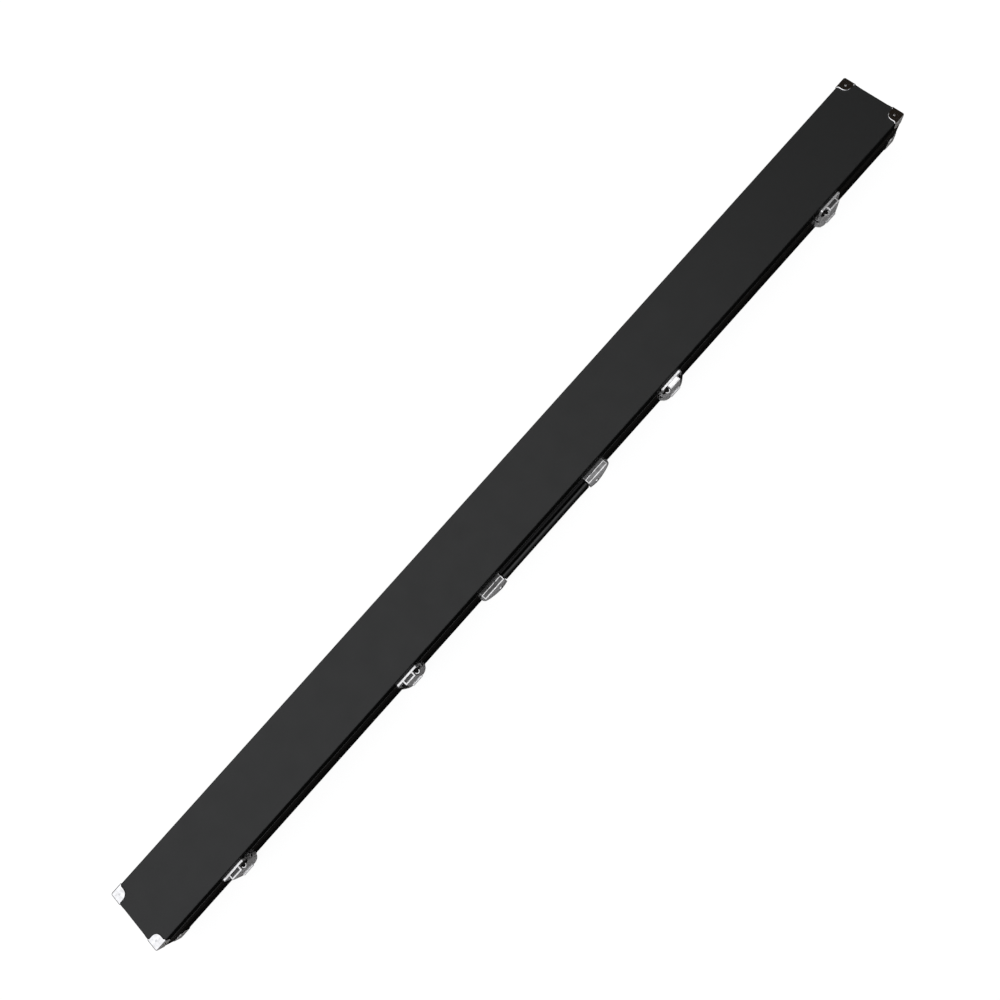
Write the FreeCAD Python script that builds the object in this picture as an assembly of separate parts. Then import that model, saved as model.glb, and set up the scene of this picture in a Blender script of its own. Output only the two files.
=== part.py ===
import FreeCAD, Part
import math
import os

# Cue case for one-piece cues: a long plywood box in black vinyl, closed with the lid upwards.
# Millimetres. X runs along the case, -Y is the front wall with the latches, +Z is up.
# The underside of the base corner protectors is at Z = 0.

Vec = FreeCAD.Vector

# ---- the case as a whole -------------------------------------------------------------------
LENGTH = 1530.0                # over the corner protectors
WIDTH = 101.5                  # over the corner protectors, without latches and hinges
HEIGHT = 64.0                  # over the corner protectors
CORNER_STEEL = 1.0             # sheet thickness of the corner protectors
COVER_T = 0.8                  # vinyl cover
PANEL_T = 4.0                  # plywood
LINING_T = 1.0                 # felt
PARTING_Z = 28.0               # plane where lid and base meet
PARTING_GAP = 0.4
COVER_R = 2.0                  # rounding of the covered edges
PANEL_R = COVER_R - COVER_T

HALF_L = LENGTH / 2 - CORNER_STEEL
HALF_W = WIDTH / 2 - CORNER_STEEL
LOW_Z = CORNER_STEEL
HIGH_Z = HEIGHT - CORNER_STEEL
PANEL_HALF_L = HALF_L - COVER_T
PANEL_HALF_W = HALF_W - COVER_T
INNER_HALF_L = PANEL_HALF_L - PANEL_T
INNER_HALF_W = PANEL_HALF_W - PANEL_T
FLOOR_Z = LOW_Z + COVER_T + PANEL_T
CEILING_Z = HIGH_Z - COVER_T - PANEL_T
BASE_TOP_Z = PARTING_Z - PARTING_GAP / 2
LID_LOW_Z = PARTING_Z + PARTING_GAP / 2

# ---- edge trims: a channel section over the open edge of the base and of the lid ------------
TRIM_WEB = 1.4
TRIM_LEG = 1.0                 # thickness of the leg inside the box
TRIM_LEG_H = 5.0
BASE_TRIM_LOW_Z = 12.0
LID_TRIM_HIGH_Z = 44.0
MITRE_GAP = 0.1
MITRE_REACH = 8.0              # half length of the saw cut at each mitre
MITRE_INSET = 3.0              # the cut's middle, inwards of the covered corner

# ---- corner protectors ----------------------------------------------------------------------
LEAF = 20.0                    # reach of a leaf along the case's edges
LEAF_LOBE = 18.6               # reach of its rounded part
LEAF_R = 9.5
LEAF_EAR = 3.0                 # width of the strip along each edge that keeps the full reach

# ---- cue cradles ----------------------------------------------------------------------------
CRADLE_L = 70.0
CRADLE_X = 560.0
CRADLE_HALF_W = INNER_HALF_W - LINING_T - 0.3
CRADLE_TOP_Z = BASE_TOP_Z - 0.4
PAD_LOW_Z = LID_LOW_Z + 0.6
CUE_Y = 20.0
CUE_AXIS_Z = 24.0
CUE_HALF_L = 735.0
CUE_BUTT_R = 14.5
CUE_TIP_R = 4.8
CUE_CLEARANCE = 0.8

# ---- hinges at the back ---------------------------------------------------------------------
HINGE_X = (-560.0, -190.0, 190.0, 560.0)
HINGE_HALF_L = 32.0
HINGE_T = 1.0
BARREL_R = 2.5
BARREL_BORE_R = 1.3
HINGE_PIN_R = 1.25
AXIS_Y = HALF_W + BARREL_R + 0.1
LID_KNUCKLE_HALF_L = 10.8
KNUCKLE_GAP = 0.2
LEAF_LOW_Z = 15.0
LEAF_HIGH_Z = 41.0
LEAF_RELIEF = 2.8              # distance of a leaf's edge from the axis beside the other's knuckle

# ---- latches: x is measured from the latch's centre, towards the thumb slide ----------------
LATCH_X = (-624.0, -273.5, 273.0, 609.0)
KEEPER_HALF_W = 19.5
SHEET = 1.2
KEEPER_LOW_Z = 29.0
KEEPER_HIGH_Z = 50.0
KEEPER_OUT = 3.5               # depth of the keeper's flanges
KEEPER_FLANGE_LOW_Z = 31.0
HOOK_HALF_W = 6.0
HOOK_LOW_Z = 40.0
HOOK_BEND_Z = 45.0
HOOK_TOP_Z = 47.0
HOOK_OUT = 2.6
BODY_HALF_W = 23.5
BODY_LOW_Z = 5.0
BODY_TAPER_Z = 14.0            # the lock plate narrows below this height
BODY_LOW_HALF_W = 13.0
CHANNEL_HALF_W = 10.2          # channel that the hasp lies in
SHOULDER_LOW_Z = 8.5
SHOULDER_TOP_Z = 27.4
TOWER_TOP_Z = 42.0             # the shoulder under the thumb slide reaches up over the lid
TOWER_OUT = 3.9                # clear of the keeper's flange
TOWER_HALF_W = 21.0
SHOULDER_OUT = 9.8
SHOULDER_SIDE_OUT = 3.5
TOWER_SIDE_OUT = 6.0
HASP_HALF_W = 9.5
HASP_TOP_Z = 48.5
HASP_BACK_OUT = 2.9
HASP_OUT = 10.6
HASP_BULGE = 0.7
HASP_AXIS_OUT = 5.0
HASP_AXIS_Z = 12.0
HASP_TOE = 3.4                 # the hasp ends this far below its axis
HASP_TOE_SLANT = 2.1
HASP_CHEEK_OUT = 4.517         # the cheeks' lowest point behind the toe
HASP_CHEEK_DROP = 1.133        # the cheeks' back corner, below the axis
HASP_BARREL_R = 2.4
HASP_PIN_R = 1.0
HASP_BORE_R = 1.05
HASP_PIN_HALF_L = 14.0
KNOB_X = 14.2
KNOB_R = 3.7
KNOB_LOW_Z = TOWER_TOP_Z + 0.2
KNOB_TOP_Z = 46.0
KNOB_OUT = 11.3
SLIDE_TRAVEL = 2.5
STEM_HALF_W = 1.2
STEM_OUT = (4.6, 5.6)
STEM_DEPTH = 5.0
FIT = 0.1                      # sliding clearance of the stem in its slot
SPRING_HALF_W = 3.0
SPRING_T = 0.5
SPRING_FOOT_Z = (16.0, 19.5)
SPRING_TIP = (6.4, 26.5)       # distance from the wall, height

# ---- strap handle ---------------------------------------------------------------------------
HANDLE_X = 2.7                 # off the case's middle; the x values below are measured from there
CAP_IN_X = 89.4                # the cap's mouth, towards the middle of the handle
CAP_END_X = 128.4              # far end of its flat top
CAP_LOW_Z = 2.5
CAP_TOP_Z = 24.5
CAP_TOP_OUT = 8.2
CAP_BELLY_Z = 10.0
CAP_WALL = 1.2
CAP_REACH = 11.2               # its furthest point from the wall
# Plans of the cap as (x, out): the top is square, the belly is fuller and longer, the foot drawn in.
CAP_TOP_PLAN = (
    (CAP_IN_X, CAP_TOP_OUT),
    (118.0, CAP_TOP_OUT),
    (CAP_END_X, CAP_TOP_OUT),
    (CAP_END_X, 4.1),
    (CAP_END_X, 0),
)
CAP_BELLY_PLAN = (
    (CAP_IN_X, CAP_REACH),
    (113.0, CAP_REACH),
    (124.5, 9.0),
    (131.0, 5.0),
    (133.5, 0),
)
CAP_FOOT_PLAN = ((CAP_IN_X, 10.4), (106.0, 10.4), (115.0, 8.0), (120.0, 4.5), (122.0, 0))
SCREW_X = 102.0
SCREW_R = 1.8
SCREW_HEAD_R = 3.0
SCREW_HEAD_OUT = (10.2, 11.8)
SCREW_HEAD_ROUND = 0.9
STRAP_END_X = 87.5
STRAP_OUT = (1.0, 8.0)
STRAP_LOW_Z = 4.8
STRAP_TOP_Z = 21.2
STRAP_WAIST = 1.2              # the strap is this much narrower on each edge away from the caps
STRAP_WAIST_X = 68.0
STRAP_FLARE_X = 81.5
STRAP_R = 3.0
STRAP_SPLIT = 0.1
CORE_OUT = (3.5, 5.0)
CORE_Z = (9.0, 17.0)
CORE_MID_Z = sum(CORE_Z) / 2
CORE_END_X = 111.0
CORE_SLOT_HALF_W = 2.3
CORE_SLOT_X = (99.0, 107.5)

# ---- rivets ---------------------------------------------------------------------------------
RIVET_R = 1.7
RIVET_H = 0.8
FLAT_RIVET_H = 0.4             # head on the lid's top leaves
HINGE_RIVET_X = 22.0           # from the hinge's middle
HINGE_RIVET_Z = (20.0, 36.0)   # base leaf, lid leaf
LOCK_RIVET = (6.0, 22.0)       # from the latch's middle, height
KEEPER_RIVET = (14.0, 44.0)

# The frame's origin is at the middle of the whole part, latches and hinges included.
REACH_FRONT = HALF_W + max(KNOB_OUT, SCREW_HEAD_OUT[1])
REACH_BACK = AXIS_Y + BARREL_R
FRAME_SHIFT_Y = (REACH_FRONT - REACH_BACK) / 2

nodes = {}


# ---- small helpers --------------------------------------------------------------------------
def box(x, y, z):
    """A box from three (low, high) pairs."""
    return Part.makeBox(x[1] - x[0], y[1] - y[0], z[1] - z[0], Vec(x[0], y[0], z[0]))


def front(x, out, z):
    """A box on the front wall; out is the distance from the wall."""
    return box(x, (-HALF_W - out[1], -HALF_W - out[0]), z)


def prism(points, sweep):
    """A straight-sided solid: a closed outline moved along the sweep vector."""
    return Part.Face(Part.makePolygon(points + [points[0]])).extrude(sweep)


def front_side(points, x):
    """A solid of constant section along X; points are (out, z) pairs."""
    outline = [Vec(x[0], -HALF_W - out, z) for out, z in points]
    return prism(outline, Vec(x[1] - x[0], 0, 0))


def front_plan(points, z):
    """A solid of constant section along Z; points are (x, out) pairs."""
    outline = [Vec(x, -HALF_W - out, z[0]) for x, out in points]
    return prism(outline, Vec(0, 0, z[1] - z[0]))


def front_face(points, out):
    """A solid of constant section along Y; points are (x, z) pairs."""
    outline = [Vec(x, -HALF_W - out[0], z) for x, z in points]
    return prism(outline, Vec(0, out[0] - out[1], 0))


def rod(radius, start, direction, length):
    return Part.makeCylinder(radius, length, Vec(*start), Vec(*direction))


def rounded(shape, radius):
    return shape.makeFillet(radius, shape.Edges)


def edges_along(shape, axis, test):
    """Edges of the shape that are parallel to axis and whose middle passes the test."""
    picked = []
    for edge in shape.Edges:
        ends = [v.Point for v in edge.Vertexes]
        if len(ends) == 2 and ends[0].distanceToPoint(ends[1]) > 0:
            direction = (ends[1] - ends[0]).normalize()
            if abs(abs(direction.dot(axis)) - 1) < 1e-6 and test(edge.CenterOfMass):
                picked.append(edge)
    return picked


def mirrored(shape):
    return shape.mirror(Vec(0, 0, 0), Vec(1, 0, 0))


def rivet(centre, normal, height=RIVET_H):
    """A low domed head standing on a face."""
    sphere_r = (RIVET_R ** 2 + height ** 2) / (2 * height)
    half_angle = math.asin(RIVET_R / sphere_r) / 2
    foot = Vec(0, 0, 0)
    rim = Vec(RIVET_R, 0, 0)
    crown = Vec(0, 0, height)
    between = Vec(sphere_r * math.sin(half_angle), 0, height - sphere_r * (1 - math.cos(half_angle)))
    dome = Part.Arc(rim, between, crown).toShape()
    outline = Part.Wire([Part.makeLine(foot, rim), dome, Part.makeLine(crown, foot)])
    head = Part.Face(outline).revolve(foot, crown, 360)
    head.Placement = FreeCAD.Placement(Vec(*centre), FreeCAD.Rotation(crown, Vec(*normal)))
    return head


# ---- box shells -----------------------------------------------------------------------------
ENVELOPE = rounded(box((-HALF_L, HALF_L), (-HALF_W, HALF_W), (LOW_Z, HIGH_Z)), COVER_R)
CARCASS_Z = (LOW_Z + COVER_T, HIGH_Z - COVER_T)
CARCASS = rounded(box((-PANEL_HALF_L, PANEL_HALF_L), (-PANEL_HALF_W, PANEL_HALF_W), CARCASS_Z), PANEL_R)
OUTER_BOX = box((-LENGTH / 2, LENGTH / 2), (-WIDTH / 2, WIDTH / 2), (0, HEIGHT))
OUTER_SHELL = rounded(OUTER_BOX, COVER_R + CORNER_STEEL)


def layer(shape, z):
    """The part of a shape between two heights."""
    return shape.common(box((-LENGTH, LENGTH), (-WIDTH, WIDTH), z))


def inside(z, inset=0.0):
    """The hollow between the plywood walls, drawn in by an inset."""
    half_l = INNER_HALF_L - inset
    half_w = INNER_HALF_W - inset
    return box((-half_l, half_l), (-half_w, half_w), z)


def panels(name, flat_z, wall_z):
    """The plywood of one half: a flat panel, two long rails and two ends between them."""
    flat = "bottom_panel" if name == "base" else "top_panel"
    nodes[name + "_" + flat] = layer(CARCASS, flat_z)
    for side, y in (("front", (-WIDTH, -INNER_HALF_W)), ("back", (INNER_HALF_W, WIDTH))):
        nodes[name + "_" + side + "_rail"] = CARCASS.common(box((-LENGTH, LENGTH), y, wall_z))
    for side, x in (("left", (-LENGTH, -INNER_HALF_L)), ("right", (INNER_HALF_L, LENGTH))):
        slab = box(x, (-INNER_HALF_W, INNER_HALF_W), wall_z)
        nodes[name + "_" + side + "_end"] = CARCASS.common(slab)


def edge_trim(leg_z, web_z, inner_leg_z):
    """The channel section over an open edge, as four mitred lengths."""
    outer_leg = layer(ENVELOPE.cut(CARCASS), leg_z)
    web = layer(ENVELOPE, web_z).cut(inside(web_z, TRIM_LEG))
    inner_leg = inside(inner_leg_z).cut(inside(inner_leg_z, TRIM_LEG))
    ring = outer_leg.fuse([web, inner_leg]).removeSplitter()
    for x_sign in (-1, 1):
        for y_sign in (-1, 1):
            saw = box((-WIDTH, WIDTH), (-MITRE_GAP / 2, MITRE_GAP / 2), (0, HEIGHT))
            saw.rotate(Vec(0, 0, 0), Vec(0, 0, 1), 45 * x_sign * y_sign)
            reach = (-MITRE_REACH, MITRE_REACH)
            saw = saw.common(box(reach, reach, (0, HEIGHT)))
            saw.translate(Vec(x_sign * (HALF_L - MITRE_INSET), y_sign * (HALF_W - MITRE_INSET), 0))
            ring = ring.cut(saw)
    return ring


def make_base_shell():
    panels("base", (LOW_Z, FLOOR_Z), (FLOOR_Z, BASE_TOP_Z - TRIM_WEB))
    nodes["base_cover"] = layer(ENVELOPE.cut(CARCASS), (LOW_Z, BASE_TRIM_LOW_Z))
    web_z = (BASE_TOP_Z - TRIM_WEB, BASE_TOP_Z)
    inner_leg_z = (web_z[0] - TRIM_LEG_H, web_z[0])
    nodes["base_edge_trim"] = edge_trim((BASE_TRIM_LOW_Z, web_z[0]), web_z, inner_leg_z)
    lining_z = (FLOOR_Z, inner_leg_z[0])
    hollow = inside((FLOOR_Z + LINING_T, HEIGHT), LINING_T)
    nodes["base_lining"] = inside(lining_z).cut(hollow)


def make_lid_shell():
    panels("lid", (CEILING_Z, HIGH_Z), (LID_LOW_Z + TRIM_WEB, CEILING_Z))
    nodes["lid_cover"] = layer(ENVELOPE.cut(CARCASS), (LID_TRIM_HIGH_Z, HIGH_Z))
    web_z = (LID_LOW_Z, LID_LOW_Z + TRIM_WEB)
    inner_leg_z = (web_z[1], web_z[1] + TRIM_LEG_H)
    nodes["lid_edge_trim"] = edge_trim((web_z[1], LID_TRIM_HIGH_Z), web_z, inner_leg_z)
    hollow = inside((0, CEILING_Z - LINING_T), LINING_T)
    nodes["lid_lining"] = inside((inner_leg_z[1], CEILING_Z)).cut(hollow)


# ---- cue cradles ----------------------------------------------------------------------------
def cue_radius(x, side):
    """Radius of a cue at x; the two cues lie butt to tip."""
    share = (x * side + CUE_HALF_L) / (2 * CUE_HALF_L)
    return CUE_TIP_R + (CUE_BUTT_R - CUE_TIP_R) * share


def cradle(x, z):
    """A foam block across the case, with a groove for each cue."""
    x_range = (x - CRADLE_L / 2, x + CRADLE_L / 2)
    block = box(x_range, (-CRADLE_HALF_W, CRADLE_HALF_W), z)
    for side in (-1, 1):
        radius = cue_radius(x, side) + CUE_CLEARANCE
        groove = rod(radius, (x_range[0], side * CUE_Y, CUE_AXIS_Z), (1, 0, 0), CRADLE_L)
        block = block.cut(groove)
        if z[0] < CUE_AXIS_Z:
            mouth = (side * CUE_Y - radius, side * CUE_Y + radius)
            block = block.cut(box(x_range, mouth, (CUE_AXIS_Z, z[1])))
    return block


def make_cradles():
    for label, x in (("left", -CRADLE_X), ("centre", 0.0), ("right", CRADLE_X)):
        nodes["base_cradle_" + label] = cradle(x, (FLOOR_Z + LINING_T, CRADLE_TOP_Z))
        nodes["lid_pad_" + label] = cradle(x, (PAD_LOW_Z, CEILING_Z - LINING_T))


# ---- corner protectors ----------------------------------------------------------------------
def leaf_waste(face):
    """What is cut from one leaf of the corner at the origin, which opens towards +X +Y +Z."""
    far = 2 * LEAF
    square = box((LEAF_EAR, far), (LEAF_EAR, far), (0, LEAF_EAR))
    lobe = box((0, LEAF_LOBE), (0, LEAF_LOBE), (0, LEAF_EAR))
    outer_edge = edges_along(lobe, Vec(0, 0, 1), lambda c: min(c.x, c.y) > LEAF_LOBE - 1)
    lobe = lobe.makeFillet(LEAF_R, outer_edge)
    waste = square.cut(lobe)
    if face == "x":
        waste.rotate(Vec(0, 0, 0), Vec(1, 1, 1), 120)
    if face == "y":
        waste.rotate(Vec(0, 0, 0), Vec(1, 1, 1), 240)
    return waste


def corner_protector():
    """Three rounded leaves of sheet steel around the case's low, left, front corner."""
    x0 = -LENGTH / 2
    y0 = -WIDTH / 2
    shell = OUTER_SHELL.common(box((x0, x0 + LEAF), (y0, y0 + LEAF), (0, LEAF))).cut(ENVELOPE)
    for face in ("x", "y", "z"):
        waste = leaf_waste(face)
        waste.translate(Vec(x0, y0, 0))
        shell = shell.cut(waste)
    return shell


def make_corners():
    steel = corner_protector()
    for x_label, x_mirror in (("left", False), ("right", True)):
        for y_label, y_mirror in (("front", False), ("back", True)):
            for z_label, z_mirror in (("base", False), ("lid", True)):
                piece = steel
                if x_mirror:
                    piece = piece.mirror(Vec(0, 0, 0), Vec(1, 0, 0))
                if y_mirror:
                    piece = piece.mirror(Vec(0, 0, 0), Vec(0, 1, 0))
                if z_mirror:
                    piece = piece.mirror(Vec(0, 0, HEIGHT / 2), Vec(0, 0, 1))
                nodes["_".join((z_label, "corner", y_label, x_label))] = piece


# ---- hinges ---------------------------------------------------------------------------------
def knuckle(x):
    """A knuckle round the hinge axis, still without a bore."""
    return rod(BARREL_R, (x[0], AXIS_Y, PARTING_Z), (1, 0, 0), x[1] - x[0])


def hinge(centre):
    """Base leaf, lid leaf and pin of one butt hinge."""
    ends = (centre - HINGE_HALF_L, centre + HINGE_HALF_L)
    inner = (centre - LID_KNUCKLE_HALF_L, centre + LID_KNUCKLE_HALF_L)
    leaf_y = (HALF_W, HALF_W + HINGE_T)
    web_y = (HALF_W + 0.1, HALF_W + HINGE_T)
    bore = rod(BARREL_BORE_R, (ends[0], AXIS_Y, PARTING_Z), (1, 0, 0), 2 * HINGE_HALF_L)
    base_leaf = box(ends, leaf_y, (LEAF_LOW_Z, PARTING_Z - LEAF_RELIEF))
    for x in ((ends[0], inner[0] - KNUCKLE_GAP), (inner[1] + KNUCKLE_GAP, ends[1])):
        web = box(x, web_y, (PARTING_Z - LEAF_RELIEF, PARTING_Z))
        base_leaf = base_leaf.fuse([web, knuckle(x)])
    lid_leaf = box(ends, leaf_y, (PARTING_Z + LEAF_RELIEF, LEAF_HIGH_Z))
    lid_web = box(inner, web_y, (PARTING_Z, PARTING_Z + LEAF_RELIEF))
    lid_leaf = lid_leaf.fuse([lid_web, knuckle(inner)])
    pin = rod(HINGE_PIN_R, (ends[0], AXIS_Y, PARTING_Z), (1, 0, 0), 2 * HINGE_HALF_L)
    return base_leaf.cut(bore).removeSplitter(), lid_leaf.cut(bore).removeSplitter(), pin


def make_hinges():
    sets = [hinge(x) for x in HINGE_X]
    nodes["hinge_base_leaves"] = Part.makeCompound([s[0] for s in sets])
    nodes["hinge_lid_leaves"] = Part.makeCompound([s[1] for s in sets])
    nodes["hinge_pins"] = Part.makeCompound([s[2] for s in sets])


# ---- latches --------------------------------------------------------------------------------
def latch_keeper():
    """The plate on the lid: a shallow tray with a flange along its top and both sides."""
    half = KEEPER_HALF_W
    plate = front((-half, half), (0, SHEET), (KEEPER_LOW_Z, KEEPER_HIGH_Z))
    top = front((-half, half), (0, KEEPER_OUT), (KEEPER_HIGH_Z - SHEET, KEEPER_HIGH_Z))
    left = front((-half, SHEET - half), (0, KEEPER_OUT), (KEEPER_FLANGE_LOW_Z, KEEPER_HIGH_Z))
    hook_outline = [
        (SHEET, HOOK_LOW_Z),
        (SHEET, HOOK_TOP_Z),
        (HOOK_OUT, HOOK_TOP_Z),
        (HOOK_OUT, HOOK_BEND_Z),
    ]
    hook = front_side(hook_outline, (-HOOK_HALF_W, HOOK_HALF_W))
    return plate.fuse([top, left, mirrored(left), hook]).removeSplitter()


def shoulder(half_w, side_out, z, back_out):
    """A block beside the hasp with a slanting front, on the +X side of the latch."""
    outline = [
        (CHANNEL_HALF_W, back_out),
        (CHANNEL_HALF_W, SHOULDER_OUT),
        (half_w, side_out),
        (half_w, back_out),
    ]
    return front_plan(outline, z)


def taper_waste():
    """What is cut from the shoulders where the lock plate narrows."""
    outline = [
        (BODY_HALF_W, BODY_TAPER_Z),
        (2 * BODY_HALF_W, BODY_TAPER_Z),
        (2 * BODY_HALF_W, 0),
        (BODY_LOW_HALF_W, 0),
        (BODY_LOW_HALF_W, BODY_LOW_Z),
    ]
    return front_face(outline, (SHEET, 2 * SHOULDER_OUT))


def stem_slot():
    x = (KNOB_X - STEM_HALF_W - FIT, KNOB_X + STEM_HALF_W + SLIDE_TRAVEL + FIT)
    out = (STEM_OUT[0] - FIT, STEM_OUT[1] + FIT)
    return front(x, out, (KNOB_LOW_Z - STEM_DEPTH - FIT, KNOB_LOW_Z + 1))


def latch_lock_body():
    """The pressed body on the base: plate, two shoulders and the tower that guides the thumb slide."""
    plate = front_face(
        [
            (-BODY_HALF_W, SHOULDER_TOP_Z),
            (BODY_HALF_W, SHOULDER_TOP_Z),
            (BODY_HALF_W, BODY_TAPER_Z),
            (BODY_LOW_HALF_W, BODY_LOW_Z),
            (-BODY_LOW_HALF_W, BODY_LOW_Z),
            (-BODY_HALF_W, BODY_TAPER_Z),
        ],
        (0, SHEET),
    )
    low = (SHOULDER_LOW_Z, SHOULDER_TOP_Z)
    sides = shoulder(BODY_HALF_W, SHOULDER_SIDE_OUT, low, SHEET).cut(taper_waste())
    full = (SHOULDER_LOW_Z, TOWER_TOP_Z)
    tower = shoulder(TOWER_HALF_W, TOWER_SIDE_OUT, full, TOWER_OUT).cut(taper_waste())
    body = plate.fuse([sides, mirrored(sides), tower]).removeSplitter()
    pin_hole = rod(
        HASP_BORE_R,
        (-HASP_PIN_HALF_L - FIT, -HALF_W - HASP_AXIS_OUT, HASP_AXIS_Z),
        (1, 0, 0),
        2 * (HASP_PIN_HALF_L + FIT),
    )
    return body.cut(pin_hole).cut(stem_slot())


def latch_hasp():
    """The box-shaped hasp: a front sheet, two cheeks and a top, on a barrel at its lower end."""
    middle_z = (HASP_AXIS_Z + HASP_TOP_Z) / 2
    section = [
        (HASP_BACK_OUT, HASP_TOP_Z),
        (HASP_OUT, HASP_TOP_Z),
        (HASP_OUT + HASP_BULGE, middle_z),
        (HASP_OUT, HASP_AXIS_Z),
        (HASP_OUT - HASP_TOE_SLANT, HASP_AXIS_Z - HASP_TOE),
        (HASP_CHEEK_OUT, HASP_AXIS_Z - HASP_TOE),
        (HASP_BACK_OUT, HASP_AXIS_Z - HASP_CHEEK_DROP),
    ]
    hollow = [
        (0, HASP_TOP_Z - SHEET),
        (HASP_OUT - SHEET, HASP_TOP_Z - SHEET),
        (HASP_OUT + HASP_BULGE - SHEET, middle_z),
        (HASP_OUT - SHEET, HASP_AXIS_Z),
        (HASP_OUT - HASP_TOE_SLANT - SHEET / 2, HASP_AXIS_Z - HASP_TOE + SHEET),
        (0, HASP_AXIS_Z - HASP_TOE + SHEET),
    ]
    width = (-HASP_HALF_W, HASP_HALF_W)
    hollow_width = (SHEET - HASP_HALF_W, HASP_HALF_W - SHEET)
    shell = front_side(section, width).cut(front_side(hollow, hollow_width))
    start = (-HASP_HALF_W, -HALF_W - HASP_AXIS_OUT, HASP_AXIS_Z)
    barrel = rod(HASP_BARREL_R, start, (1, 0, 0), 2 * HASP_HALF_W)
    bore = rod(HASP_BORE_R, start, (1, 0, 0), 2 * HASP_HALF_W)
    return shell.fuse(barrel).cut(bore).removeSplitter()


def latch_slide():
    """The thumb slide: a round-fronted knob on a short stem."""
    back = STEM_OUT[0]
    nose = KNOB_OUT - KNOB_R
    z = (KNOB_LOW_Z, KNOB_TOP_Z)
    knob = front((KNOB_X - KNOB_R, KNOB_X + KNOB_R), (back, nose), z)
    round_front = rod(KNOB_R, (KNOB_X, -HALF_W - nose, z[0]), (0, 0, 1), z[1] - z[0])
    stem_x = (KNOB_X - STEM_HALF_W, KNOB_X + STEM_HALF_W)
    stem = front(stem_x, STEM_OUT, (KNOB_LOW_Z - STEM_DEPTH, KNOB_LOW_Z))
    return knob.fuse([round_front, stem]).removeSplitter()


def latch_spring():
    """The leaf spring behind the hasp that throws it open."""
    foot_low, foot_high = SPRING_FOOT_Z
    tip_out, tip_z = SPRING_TIP
    outline = [
        (SHEET, foot_low),
        (SHEET, foot_high),
        (tip_out, tip_z),
        (tip_out + SPRING_T, tip_z - SPRING_T / 2),
        (SHEET + SPRING_T, foot_high - SPRING_T / 2),
        (SHEET + SPRING_T, foot_low),
    ]
    return front_side(outline, (-SPRING_HALF_W, SPRING_HALF_W))


def hasp_pin():
    start = (-HASP_PIN_HALF_L, -HALF_W - HASP_AXIS_OUT, HASP_AXIS_Z)
    return rod(HASP_PIN_R, start, (1, 0, 0), 2 * HASP_PIN_HALF_L)


def placed(shape, centre):
    """A latch piece moved to its latch; the thumb slide is towards the middle of the case."""
    piece = mirrored(shape) if centre > 0 else shape.copy()
    piece.translate(Vec(centre, 0, 0))
    return piece


def make_latches():
    for number, centre in enumerate(LATCH_X, 1):
        name = "latch_" + str(number) + "_"
        nodes[name + "keeper"] = placed(latch_keeper(), centre)
        nodes[name + "lock_body"] = placed(latch_lock_body(), centre)
        nodes[name + "hasp"] = placed(latch_hasp(), centre)
        nodes[name + "slide"] = placed(latch_slide(), centre)
    nodes["latch_springs"] = Part.makeCompound([placed(latch_spring(), x) for x in LATCH_X])
    nodes["latch_hasp_pins"] = Part.makeCompound([placed(hasp_pin(), x) for x in LATCH_X])


# ---- handle ---------------------------------------------------------------------------------
def cap_wire(plan, z, wall):
    """Closed outline of the cap at a height, drawn in by a wall thickness but open to wall and strap."""
    mouth_x = CAP_IN_X - wall
    points = [(mouth_x, 0)]
    for x, out in plan:
        points.append((mouth_x if x == CAP_IN_X else x - wall, max(0, out - wall)))
    corners = [Vec(x, -HALF_W - out, z) for x, out in points]
    return Part.makePolygon(corners + corners[:1])


def cap_block(wall):
    """The cap's outer shape, or its hollow if wall isn't 0."""
    levels = (
        (CAP_FOOT_PLAN, CAP_LOW_Z + wall),
        (CAP_BELLY_PLAN, CAP_BELLY_Z + wall / 2),
        (CAP_TOP_PLAN, CAP_TOP_Z - 2 * wall),
    )
    return Part.makeLoft([cap_wire(plan, z, wall) for plan, z in levels], True, True)


def handle_cap():
    """The right-hand end cap: a shell open towards the wall and towards the strap, with a sunk top."""
    block = cap_block(0)
    hollow = cap_block(CAP_WALL)
    tray = front(
        (CAP_IN_X + CAP_WALL, CAP_END_X - CAP_WALL),
        (CAP_WALL, CAP_TOP_OUT - CAP_WALL),
        (CAP_TOP_Z - CAP_WALL, CAP_TOP_Z + 1),
    )
    at_wall = (SCREW_X, -HALF_W + 1, CORE_MID_Z)
    screw_hole = rod(SCREW_R + FIT, at_wall, (0, -1, 0), 2 * CAP_REACH)
    seat_start = (SCREW_X, -HALF_W - SCREW_HEAD_OUT[0], CORE_MID_Z)
    head_seat = rod(SCREW_HEAD_R, seat_start, (0, -1, 0), CAP_REACH)
    return block.cut(hollow).cut(tray).cut(screw_hole).cut(head_seat)


def handle_screw():
    """A round-headed screw through the cap and the slot of the strap's core, up to the wall."""
    head_low, head_top = SCREW_HEAD_OUT
    shank = rod(SCREW_R, (SCREW_X, -HALF_W, CORE_MID_Z), (0, -1, 0), head_low)
    head_start = (SCREW_X, -HALF_W - head_low, CORE_MID_Z)
    head = rod(SCREW_HEAD_R, head_start, (0, -1, 0), head_top - head_low)
    crown = [e for e in head.Edges if e.CenterOfMass.y < -HALF_W - head_top + FIT]
    return shank.fuse(head.makeFillet(SCREW_HEAD_ROUND, crown)).removeSplitter()


def core_slot():
    """The slot that lets the core slide past its screw."""
    z = (CORE_MID_Z - CORE_SLOT_HALF_W, CORE_MID_Z + CORE_SLOT_HALF_W)
    return front(CORE_SLOT_X, (0, CAP_REACH), z)


def strap_core():
    return front((STRAP_SPLIT, CORE_END_X), CORE_OUT, CORE_Z).cut(core_slot())


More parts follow.
